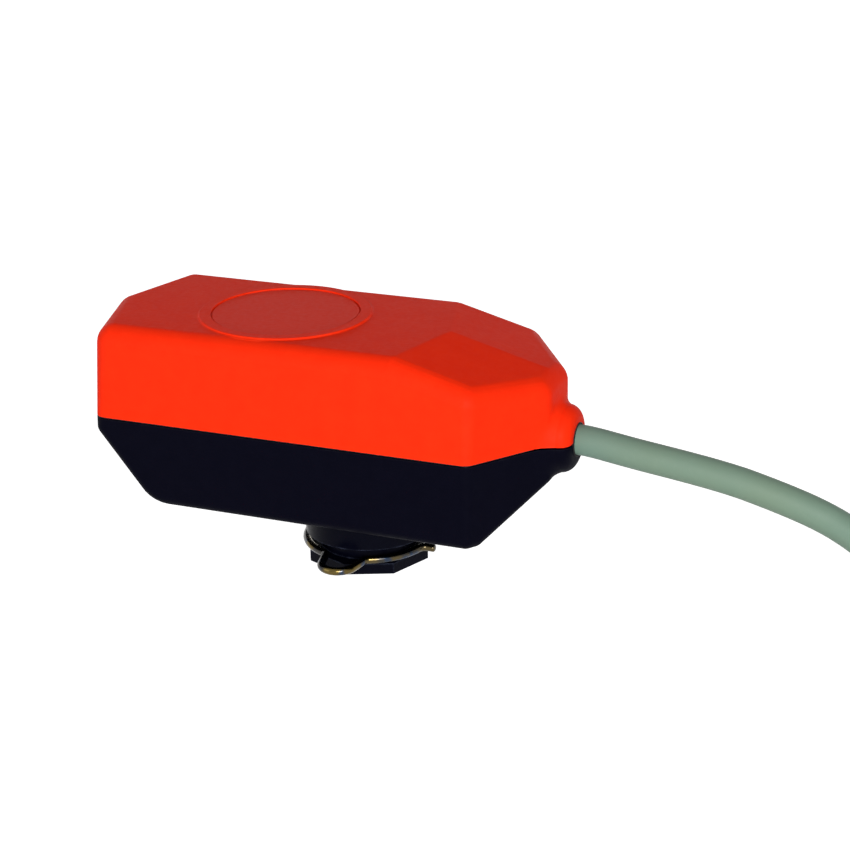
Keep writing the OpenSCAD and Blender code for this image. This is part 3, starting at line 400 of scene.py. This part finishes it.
def onCircle(at, r, degrees, z=0.0):
    a = math.radians(degrees)
    return Vector((at[0] + r * math.cos(a), at[1] + r * math.sin(a), z))


# Turns a closed profile of radius and height about Z, or about X
def turned(bm, profile, sides, axis, centre):
    rings = []
    for r, along in profile:
        ring = [onCircle((0, 0), r, 360 * k / sides, along) for k in range(sides)]
        if axis == "X":
            ring = [Vector((v.z, v.x, v.y)) for v in ring]
        rings.append([Vector(centre) + v for v in ring])
    skinRings(bm, rings, closed=True)


def arcPoints(at, r, start, end, steps, z=0.0):
    return [onCircle(at, r, start + (end - start) * i / steps, z) for i in range(steps + 1)]


def smooth(t):
    t = min(max(t, 0.0), 1.0)
    return t * t * (3 - 2 * t)


# Cable: out of the outlet, down to the ground, and wound up into a coil one turn wide
cable = {
    "diameter": 6.6,
    "free": [
        (48.8, 0, 33.15), (50.4, 0, 33.1), (52.4, 0, 32.9), (54.6, 0, 32.6), (58.5, 0, 32),
        (63, 0, 31.35), (68, 0, 30.7), (73.5, 0, 29.95), (79, 0, 29.1), (84, 0, 28.15),
        (89, 0, 26.9), (94, 0, 25.5), (99, 0, 23.9), (104, -0.2, 21.95), (109.4, -1.2, 19.45),
        (114.5, -2.7, 16.4), (119.5, -4.7, 12.8), (124.5, -7.1, 9.1), (130, -9.8, 6.1),
        (136, -12.9, 4.35), (142, -15.6, 3.95), (148, -17.8, 3.9), (154, -19.2, 3.9),
        (160, -19.7, 3.9),
    ],
    "coilAt": (160, 13.3),
    "coilRadius": 33,
    "low": 3.9,             # height of the first turn's centre
    "pitch": 6.7,           # from turn to turn
    "start": 270,           # degrees from +X at which the cable comes onto the coil
    "turns": 4,
    "climb": (132, 222),    # sector in which each turn climbs onto the one below
    "step": 15,             # degrees between the points of the coil
    "parts": 3,             # pieces that each stretch between two points is cut into
    "sides": 24,
}


# Rounds the corners of a chain of points with a cubic through them
def roundedRoute(points, parts):
    points = [Vector(p) for p in points]
    padded = [2 * points[0] - points[1]] + points + [2 * points[-1] - points[-2]]
    route = []
    for a, b, c, d in zip(padded, padded[1:], padded[2:], padded[3:]):
        for i in range(parts):
            t = i / parts
            route.append(0.5 * (2 * b + (c - a) * t + (2 * a - 5 * b + 4 * c - d) * t * t
                                + (3 * b - a - 3 * c + d) * t ** 3))
    return route + [points[-1]]


# Height of the cable's centre at an angle that counts on from turn to turn
def coilLevel(c, a):
    first, last = c["climb"]
    climbs = [smooth((a - 360 * k - first) / (last - first)) for k in range(1, c["turns"])]
    return c["low"] + c["pitch"] * sum(climbs)


def coilRoute(c):
    end = c["climb"][0] + 360 * c["turns"]
    angles = range(c["start"] + c["step"], end + 1, c["step"])
    return [onCircle(c["coilAt"], c["coilRadius"], a, coilLevel(c, a)) for a in angles]


def makeCable(c):
    route = roundedRoute(c["free"] + coilRoute(c), c["parts"])
    bm = bmesh.new()
    sweep(bm, route, c["diameter"] / 2, c["sides"])
    piece = link(meshFrom(bm, "cableSheath"), "cableSheath", "housing")
    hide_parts("cable", "cable_coil")
    return piece, route


cableSheathPiece, cableRoute = makeCable(cable)


# Free end: three stripped cores that drop onto the turn below, each in a crimped ferrule with a sleeve
coreEnd = {
    "spacing": 2.3,
    "thick": 1.1,
    "inSheath": ((-1.2, -0.7), (0.0, 1.3), (1.2, -0.7)),    # across and up from the sheath's centre
    "spread": 14,           # degrees over which the cores part
    "cores": (-2, 26),      # degrees on from the end of the sheath
    "sleeve": (24.5, 29),
    "barrel": (28.5, 37),
    "sleeveRadii": [1.18, 1.28, 1.28, 1.22, 1.0, 0.84, 0.76],
    "barrelRadii": [0.75, 0.75, 0.66, 0.75, 0.66, 0.75, 0.66, 0.75, 0.66, 0.75, 0.75, 0.75, 0.68],
    "colours": ("coreBrown", "coreBlack", "coreBlue"),
    "steps": 24,
    "sides": 16,
}


def coreLine(e, i, start, end, steps):
    sheathEnd = cable["climb"][0] + 360 * cable["turns"]
    inSheath, rise = e["inSheath"][i]
    across = (i - 1) * e["spacing"]
    reach = cable["diameter"] / 2 + e["thick"]
    line = []
    for k in range(steps + 1):
        a = start + (end - start) * k / steps
        apart = smooth(a / e["spread"])
        lying = coilLevel(cable, sheathEnd + a - 360) + math.sqrt(reach ** 2 - across ** 2)
        fromSheath = coilLevel(cable, sheathEnd) + rise
        r = cable["coilRadius"] + inSheath + (across - inSheath) * apart
        level = fromSheath + (lying - fromSheath) * apart
        line.append(onCircle(cable["coilAt"], r, sheathEnd + a, level))
    return line


def makeCoreEnds(e):
    pieces = []
    ferrules = bmesh.new()
    for i, colour in enumerate(e["colours"]):
        bm = bmesh.new()
        sweep(bm, coreLine(e, i, *e["cores"], e["steps"]), e["thick"], e["sides"])
        pieces.append(link(meshFrom(bm, "coreEnd" + str(i + 1)), colour, "housing"))
        for part in ("sleeve", "barrel"):
            radii = e[part + "Radii"]
            sweep(ferrules, coreLine(e, i, *e[part], len(radii) - 1), radii, e["sides"])
    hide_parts("cable_cores")
    tips = link(meshFrom(ferrules, "ferrules"), "ferruleTin", "housing")
    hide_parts("cable_ferrules")
    return pieces + [tips]


freeEnd = makeCoreEnds(coreEnd)


# Two ties round the coil: flat straps with rounded corners, their twisted ends laid along the top turn
tie = {
    "bearings": (60, 330),
    "halfWide": 3.55,
    "low": 0.35,
    "high": 27.55,
    "corner": 3.0,
    "strap": (4.0, 0.5, 0.15),      # width, thickness and chamfer
    "twist": {
        "turns": 3.5,
        "from": 3,                  # degrees along the coil from the strap
        "to": 25,
        "pitchRadius": 0.62,
        "wire": 0.55,
        "level": 28.7,
        "steps": 40,
        "sides": 10,
        "roundEnds": 0.4,
    },
}


def makeStrap(bm, t):
    w, low, high, c = t["halfWide"], t["low"], t["high"], t["corner"]
    corners = ((w - c, low + c, 270), (w - c, high - c, 0), (c - w, high - c, 90), (c - w, low + c, 180))
    loop = [onCircle((x, z), c, start + s) for x, z, start in corners for s in range(0, 91, 15)]
    wide, thick, cut = t["strap"]
    x, z = wide / 2, thick / 2
    section = [(cut - x, z), (x - cut, z), (x, 0), (x - cut, -z), (cut - x, -z), (-x, 0)]
    rings = []
    for i, p in enumerate(loop):
        d = (loop[(i + 1) % len(loop)] - loop[i - 1]).normalized()
        rings.append([(p.x + d.y * o, s, p.y - d.x * o) for s, o in section])
    skinRings(bm, rings, closed=True)


def makeTies(t):
    both = bmesh.new()
    tw = t["twist"]
    r = cable["coilRadius"]
    for bearing in t["bearings"]:
        bm = bmesh.new()
        makeStrap(bm, t)
        bmesh.ops.translate(bm, vec=(r, 0, 0), verts=bm.verts)
        for half in (0, math.pi):
            line = []
            for i in range(tw["steps"] + 1):
                f = i / tw["steps"]
                a = half + f * tw["turns"] * 2 * math.pi
                out, rise = tw["pitchRadius"] * math.cos(a), tw["pitchRadius"] * math.sin(a)
                along = tw["from"] + f * (tw["to"] - tw["from"])
                line.append(onCircle((0, 0), r + out, along, tw["level"] + rise))
            sweep(bm, line, tw["wire"], tw["sides"], tw["roundEnds"])
        turn = Matrix.Rotation(math.radians(bearing), 4, "Z")
        bmesh.ops.transform(bm, matrix=Matrix.Translation((*cable["coilAt"], 0)) @ turn, verts=bm.verts)
        part = bpy.data.meshes.new("strap")
        bm.to_mesh(part)
        both.from_mesh(part)
        bpy.data.meshes.remove(part)
        bm.free()
    piece = link(meshFrom(both, "coilTies"), "tieBlack", "housing")
    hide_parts("cable_tie")
    return piece


coilTies = makeTies(tie)
print("coil, ties and free end made")


# Every carried-over node keeps its shape, with its own finish and its creases broken by so many mm
nodeFinish = {
    "cover": ("shellOrange", 0.3),
    "base": ("shellBlack", 0.3),
    "badge_disc": ("badgeRed", 0.12),
    "parting_seal": ("sealRubber", 0),
    "collar": ("collarBlack", 0.22),
    "collar_screws": ("zincSteel", 0.08),
    "housing_screws": ("zincSteel", 0.15),
    "output_coupling": ("brassTurned", 0.15),
    "shaft_seal": ("sealRubber", 0.1),
    "output_gear": ("acetal", 0.08),
    "output_circlip": ("springWire", 0.05),
    "second_gear": ("acetal", 0.05),
    "first_gear": ("acetal", 0.05),
    "gear_pins": ("zincSteel", 0.1),
    "gear_plate": ("plateSteel", 0.12),
    "plate_screws": ("zincSteel", 0.1),
    "motor_body": ("motorCan", 0.2),
    "motor_screws": ("zincSteel", 0.1),
    "motor_shaft": ("zincSteel", 0.1),
    "motor_pinion": ("brassTurned", 0.04),
    "circuit_board": ("boardGreen", 0.06),
    "board_pillars": ("zincSteel", 0.08),
    "board_screws": ("zincSteel", 0.1),
    "board_parts": ("componentBlue", 0.2),
    "terminal_block": ("terminalGreen", 0.12),
    "cable_entry": ("cableSheath", 0),
    "cable_clamp": ("clampNylon", 0.2),
    "clamp_screws": ("zincSteel", 0.1),
    "inner_cores": ("coreBrown", 0),
    "motor_leads": ("coreBlue", 0),
    "retaining_clip": ("springWire", 0),
}
edges = {
    "smoothBelow": 32,      # degrees between two faces up to which they shade as one
    "softenAbove": 38,      # degrees from which a crease is broken
    "flatWithin": 0.6,      # degrees within which faces count as one flat
    "segments": 2,
    "weld": 0.002,
}


def makeShading():
    group = bpy.data.node_groups.new("smoothByAngle", "GeometryNodeTree")
    group.interface.new_socket("Geometry", in_out="INPUT", socket_type="NodeSocketGeometry")
    group.interface.new_socket("Geometry", in_out="OUTPUT", socket_type="NodeSocketGeometry")
    add, join = group.nodes.new, group.links.new
    source, result = add("NodeGroupInput"), add("NodeGroupOutput")
    angle, sharp = add("GeometryNodeInputMeshEdgeAngle"), add("FunctionNodeCompare")
    sharp.operation = "GREATER_THAN"
    sharp.inputs[1].default_value = math.radians(edges["smoothBelow"])
    smoothFaces, sharpEdges = add("GeometryNodeSetShadeSmooth"), add("GeometryNodeSetShadeSmooth")
    sharpEdges.domain = "EDGE"
    sharpEdges.inputs["Shade Smooth"].default_value = False
    join(source.outputs[0], smoothFaces.inputs["Geometry"])
    join(angle.outputs["Unsigned Angle"], sharp.inputs[0])
    join(sharp.outputs[0], sharpEdges.inputs["Selection"])
    join(smoothFaces.outputs[0], sharpEdges.inputs["Geometry"])
    join(sharpEdges.outputs[0], result.inputs[0])
    return group


smoothByAngle = makeShading()


def finishNode(name, mat, soften):
    obj = nodes[name]
    for slot in obj.material_slots:
        slot.material = finish[mat]
    weld = obj.modifiers.new("weld", "WELD")
    weld.merge_threshold = edges["weld"] * mm
    if soften:
        flat = obj.modifiers.new("flat", "DECIMATE")
        flat.decimate_type = "DISSOLVE"
        flat.angle_limit = math.radians(edges["flatWithin"])
        bevel = obj.modifiers.new("soften", "BEVEL")
        bevel.width = soften * mm
        bevel.segments = edges["segments"]
        bevel.limit_method = "ANGLE"
        bevel.angle_limit = math.radians(edges["softenAbove"])
        bevel.use_clamp_overlap = True
    shade = obj.modifiers.new("shade", "NODES")
    shade.node_group = smoothByAngle
    weighted = obj.modifiers.new("weighted", "WEIGHTED_NORMAL")
    weighted.keep_sharp = True


for nodeName, (mat, soften) in nodeFinish.items():
    finishNode(nodeName, mat, soften)
print("nodes finished:", len(nodeFinish))


# Wire clip: one length of spring wire, bent flat into a straight back, a ring, a finger loop
# and two turned-out ends
clip = {
    "wire": 0.9,            # radius
    "level": 3.9,
    "ring": 13.9,
    "back": (9.7, 2.0),     # how far back its straight part lies, and the bends beside it
    "loop": (3.75, 20.9),   # radius of the finger loop, and how far out it reaches
    "legs": 12,             # degrees by which the legs of the loop part towards the ring
    "pinch": 1.8,           # bends from the legs into the ring
    "ends": (16, 2.0, 75, 1.6),     # bearing on the ring, bend, degrees of it, and the straight tip
    "steps": {"loop": 14, "pinch": 10, "end": 12, "back": 8, "right": 12, "left": 40, "front": 16},
    "sides": 24,
    "roundEnds": 0.5,
    "apart": 0.05,          # points nearer than this are one
}


# Half of the loop from its front to the ring, with the bearing at which it gets there
def loopHalf(c):
    ring, pinch = c["ring"], c["pinch"]
    r, reach = c["loop"]
    lean = math.radians(c["legs"])
    out, along = Vector((math.cos(lean), -math.sin(lean))), Vector((math.sin(lean), math.cos(lean)))
    base = Vector((0, r - reach)) + out * (r + pinch)
    b = base.dot(along)
    at = base + along * (-b - math.sqrt(b * b - base.dot(base) + (ring + pinch) ** 2))
    bearing = math.degrees(math.atan2(at.y, at.x))
    half = arcPoints((0, r - reach), r, 270, 360 - c["legs"], c["steps"]["loop"], c["level"])
    half += arcPoints(at, pinch, 180 - c["legs"], bearing + 180, c["steps"]["pinch"], c["level"])
    return half, bearing


def clipRoute(c):
    ring, level, steps = c["ring"], c["level"], c["steps"]
    half, pinchBearing = loopHalf(c)
    backY, bend = c["back"]
    bendY = backY - bend
    bendX = math.sqrt((ring - bend) ** 2 - bendY ** 2)
    backBearing = math.degrees(math.atan2(bendY, bendX))
    bearing, endBend, turn, tip = c["ends"]
    end = arcPoints(onCircle((0, 0), ring + endBend, -bearing), endBend,
                    180 - bearing, 180 - bearing - turn, steps["end"], level)
    last = math.radians(180 - bearing - turn)
    end.append(end[-1] + Vector((math.sin(last), -math.cos(last), 0)) * tip)
    route = [Vector((v.x, -v.y, v.z)) for v in reversed(end)]
    route += arcPoints((0, 0), ring, bearing, backBearing, steps["right"], level)
    route += arcPoints((bendX, bendY), bend, backBearing, 90, steps["back"], level)
    route += arcPoints((-bendX, bendY), bend, 90, 180 - backBearing, steps["back"], level)
    route += arcPoints((0, 0), ring, 180 - backBearing, 180 - pinchBearing, steps["left"], level)
    route += [Vector((-v.x, v.y, v.z)) for v in reversed(half)] + half
    route += arcPoints((0, 0), ring, pinchBearing, -bearing, steps["front"], level) + end
    return [route[0]] + [b for a, b in zip(route, route[1:]) if (b - a).length > c["apart"]]


def makeClip(c):
    bm = bmesh.new()
    sweep(bm, clipRoute(c), c["wire"], c["sides"], c["roundEnds"])
    piece = link(meshFrom(bm, "wireClip"), "springWire", "clip")
    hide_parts("retaining_clip")


makeClip(clip)
print("wire clip made")


# Soft root of the cable outlet: the creases round it are filled by relaxing the outline at each bearing
outletRoot = {
    "axis": 33.15,          # height of the outlet's axis
    "from": 5.0,            # distances from the axis between which the shells are felt
    "to": 15.0,
    "feel": 0.05,           # from one ray to the next
    "beyond": 60,           # where the rays start, ahead of the outlet
    "clear": 0.05,          # rays keep this far from the gap between the shells
    "step": 0.2,            # between the points of the outline that is relaxed
    "relax": 70,
    "bearing": 5,           # degrees from one section to the next
    "settle": 2,            # times that each section is blended with its neighbours
    "points": 12,
    "least": 0.01,          # the fill ends where it is thinner than this
    "fade": ((6, 0.12), (3, 0.078), (0, 0.036)),    # points past the fill, and depth in the shell there
    "inside": 0.5,          # depth of the hidden side
    "cover": ("outletRootCover", 1, 33.65, "shellOrange", "orange_shell"),      # side, and edge height
    "base": ("outletRootBase", -1, 33.25, "shellBlack", "black_shell"),
}


def shellSurface():
    points, faces = [], []
    for name in ("cover", "base"):
        mesh = nodes[name].data
        faces += [[len(points) + v for v in p.vertices] for p in mesh.polygons]
        points += [v.co.copy() for v in mesh.vertices]
    return BVHTree.FromPolygons(points, faces)


def evenly(line, step):
    even, left = [line[0]], step
    for a, b in zip(line, line[1:]):
        gap = (b - a).length
        while gap >= left:
            a = a + (b - a) * (left / gap)
            gap -= left
            even.append(a)
            left = step
        left -= gap
    return even


# Each point of a row but its ends moves halfway to the middle of its two neighbours
def relaxed(row):
    return [row[0]] + [b * 0.5 + (a + c) * 0.25 for a, b, c in zip(row, row[1:], row[2:])] + [row[-1]]


# Outline of the shells in the half plane at one bearing: along the outlet's axis, and away from it
def feltLine(surface, r, c, s, side, edge):
    clear = edge + side * r["clear"]
    line = []
    for i in range(int((r["to"] - r["from"]) / r["feel"]) + 1):
        away = r["from"] + r["feel"] * i
        level = r["axis"] + away * s
        level = max(level, clear) if side > 0 else min(level, clear)
        hit = surface.ray_cast(Vector((r["beyond"], away * c, level)) * mm, Vector((-1, 0, 0)))[0]
        line.append(Vector((hit.x / mm, away)))
    return evenly(line, r["step"])


def rootSection(surface, r, bearing, side, edge):
    c, s = math.cos(math.radians(bearing)), math.sin(math.radians(bearing))
    line = feltLine(surface, r, c, s, side, edge)
    soft = line
    for turn in range(r["relax"]):
        soft = relaxed(soft)
    out = [Vector(((b - a).y, (a - b).x)).normalized() for a, b in zip(line, line[2:])]
    out = [out[0]] + out + [out[-1]]
    fill = [(q - p).dot(n) for p, q, n in zip(line, soft, out)]
    top = fill.index(max(fill))
    low = high = top
    while low > 1 and fill[low] > r["least"]:
        low -= 1
    while high < len(fill) - 2 and fill[high] > r["least"]:
        high += 1
    before = [(max(low - past, 0), sink) for past, sink in r["fade"]]
    after = [(min(high + past, len(line) - 1), sink) for past, sink in reversed(r["fade"])]
    section = [line[i] - out[i] * sink for i, sink in before]
    for k in range(1, r["points"]):
        at = low + (high - low) * k / r["points"]
        i = int(at)
        section.append(soft[i] + (soft[i + 1] - soft[i]) * (at - i))
    section += [line[i] - out[i] * sink for i, sink in after]
    section.append(line[top] - out[top] * r["inside"])
    return [Vector((p.x, p.y * c, r["axis"] + p.y * s)) for p in section]


def makeOutletRoot(surface, r, part):
    name, side, edge, mat, slotName = r[part]
    rings = [rootSection(surface, r, side * a, side, edge) for a in range(0, 181, r["bearing"])]
    lines = list(zip(*rings))
    for turn in range(r["settle"]):
        lines = [relaxed(line) for line in lines]
    rings = [list(ring) for ring in zip(*lines)]
    for ring in rings:
        for p in ring:
            p.z = max(p.z, edge) if side > 0 else min(p.z, edge)
    for ring in (rings[0], rings[-1]):
        for p in ring:
            p.z = edge
    bm = bmesh.new()
    skinRings(bm, rings)
    link(meshFrom(bm, name), mat, "housing")


shells = shellSurface()
for part in ("cover", "base"):
    makeOutletRoot(shells, outletRoot, part)


# Small turned trims: a dark lip round the cable, painted shade for the gap at its mouth, and the soft foot
# of the badge ring
trims = {
    # dark ring at the cable's mouth: painted shade for the gap round the cable, shaped as a rubber lip
    "cableMouthShade": {
        "profile": [(3.3, 48.5), (3.32, 48.95), (3.5, 49.06), (3.7, 48.98), (3.8, 48.5)],
        "axis": "X",
        "at": (0, 0, 33.15),
        "sides": 160,
        "sharp": 50,        # degrees from which its creases show
        "finish": ("sealRubber", "seal_rubber"),
    },
    "ringFoot": {
        "profile": [(18.8, 54.5), (19.01, 54.5), (19.05, 54.41), (19.13, 54.33), (19.25, 54.27),
                    (19.4, 54.24), (19.6, 54.08), (18.8, 54.08)],
        "axis": "Z",
        "at": (-18.5, 0, 0),
        "sides": 160,
        "sharp": 50,
        "finish": ("shellOrange", "orange_shell"),
    },
}


def makeTrim(name, t):
    bm = bmesh.new()
    turned(bm, t["profile"], t["sides"], t["axis"], t["at"])
    mat, slotName = t["finish"]
    link(meshFrom(bm, name, t["sharp"]), mat, "housing")


for trimName, trim in trims.items():
    makeTrim(trimName, trim)
print("outlet root and trims made")


# Floor, world and lights, in metres and watts
light = {
    "world": {"colour": (0.92, 0.95, 1.0), "level": 0.1},
    "floor": {"colour": (0.8, 0.8, 0.8), "roughness": 0.9, "specular": 0.1, "glow": 0.86,
              "size": 4, "drop": 0.0002},
    "aim": (0.0, 0.0, 0.03),
    "lamps": {
        "key": {"at": (0.475, -0.87, 0.34), "size": (0.5, 0.36), "power": 13, "colour": (1.0, 0.99, 0.97)},
        "fill": {"at": (-0.7, -0.7, 0.3), "size": (0.6, 0.6), "power": 2, "colour": (0.95, 0.97, 1.0)},
        "back": {"at": (-0.9, 0.5, 0.35), "size": (0.7, 0.6), "power": 1.1, "colour": (1.0, 1.0, 1.0)},
        "rear": {"at": (-0.2, 1.0, 0.1), "size": (0.8, 0.2), "power": 1.0, "colour": (1.0, 1.0, 1.0)},
    },
}


# 1 for what the camera sees directly, in a mirror or through glass, 0 for light that falls on things
def seenPath(tree):
    ray = tree.nodes.new("ShaderNodeLightPath")
    seen = ray.outputs["Is Camera Ray"]
    for other in ("Is Glossy Ray", "Is Transmission Ray"):
        either = tree.nodes.new("ShaderNodeMath")
        either.operation = "MAXIMUM"
        tree.links.new(seen, either.inputs[0])
        tree.links.new(ray.outputs[other], either.inputs[1])
        seen = either.outputs[0]
    return seen


def makeFloor(f):
    bm = bmesh.new()
    bmesh.ops.create_grid(bm, x_segments=2, y_segments=2, size=f["size"])
    mesh = bpy.data.meshes.new("floor")
    bm.to_mesh(mesh)
    bm.free()
    floor = bpy.data.objects.new("floor", mesh)
    floor.location.z = -f["drop"]
    bpy.context.scene.collection.objects.link(floor)
    mat, shader = startMaterial("paleFloor", f["colour"], f["roughness"])
    shader.inputs["Specular IOR Level"].default_value = f["specular"]
    tree = mat.node_tree
    glow = tree.nodes.new("ShaderNodeEmission")
    glow.inputs["Color"].default_value = (1, 1, 1, 1)
    level = tree.nodes.new("ShaderNodeMath")
    level.operation = "MULTIPLY"
    level.inputs[1].default_value = f["glow"]
    tree.links.new(seenPath(tree), level.inputs[0])
    tree.links.new(level.outputs[0], glow.inputs["Strength"])
    both = tree.nodes.new("ShaderNodeAddShader")
    tree.links.new(shader.outputs[0], both.inputs[0])
    tree.links.new(glow.outputs[0], both.inputs[1])
    tree.links.new(both.outputs[0], tree.nodes["Material Output"].inputs["Surface"])
    floor.data.materials.append(mat)


def makeWorld(w):
    world = bpy.data.worlds.new("studio")
    bpy.context.scene.world = world
    world.use_nodes = True
    tree = world.node_tree
    back = tree.nodes["Background"]
    back.inputs["Color"].default_value = (*w["colour"], 1)
    back.inputs["Strength"].default_value = w["level"]
    white = tree.nodes.new("ShaderNodeBackground")
    white.inputs["Color"].default_value = (1, 1, 1, 1)
    mix = tree.nodes.new("ShaderNodeMixShader")
    tree.links.new(seenPath(tree), mix.inputs[0])
    tree.links.new(back.outputs[0], mix.inputs[1])
    tree.links.new(white.outputs[0], mix.inputs[2])
    tree.links.new(mix.outputs[0], tree.nodes["World Output"].inputs["Surface"])


def makeLamp(name, settings, aim):
    data = bpy.data.lights.new(name, "AREA")
    data.shape = "RECTANGLE"
    data.size, data.size_y = settings["size"]
    data.energy = settings["power"]
    data.color = settings["colour"]
    lamp = bpy.data.objects.new(name, data)
    lamp.location = settings["at"]
    lamp.rotation_euler = (Vector(settings["at"]) - Vector(aim)).to_track_quat("Z", "Y").to_euler()
    bpy.context.scene.collection.objects.link(lamp)


makeFloor(light["floor"])
makeWorld(light["world"])
for lampName, settings in light["lamps"].items():
    makeLamp(lampName, settings, light["aim"])
bpy.context.scene.view_settings.view_transform = "Standard"
print("stage lit")
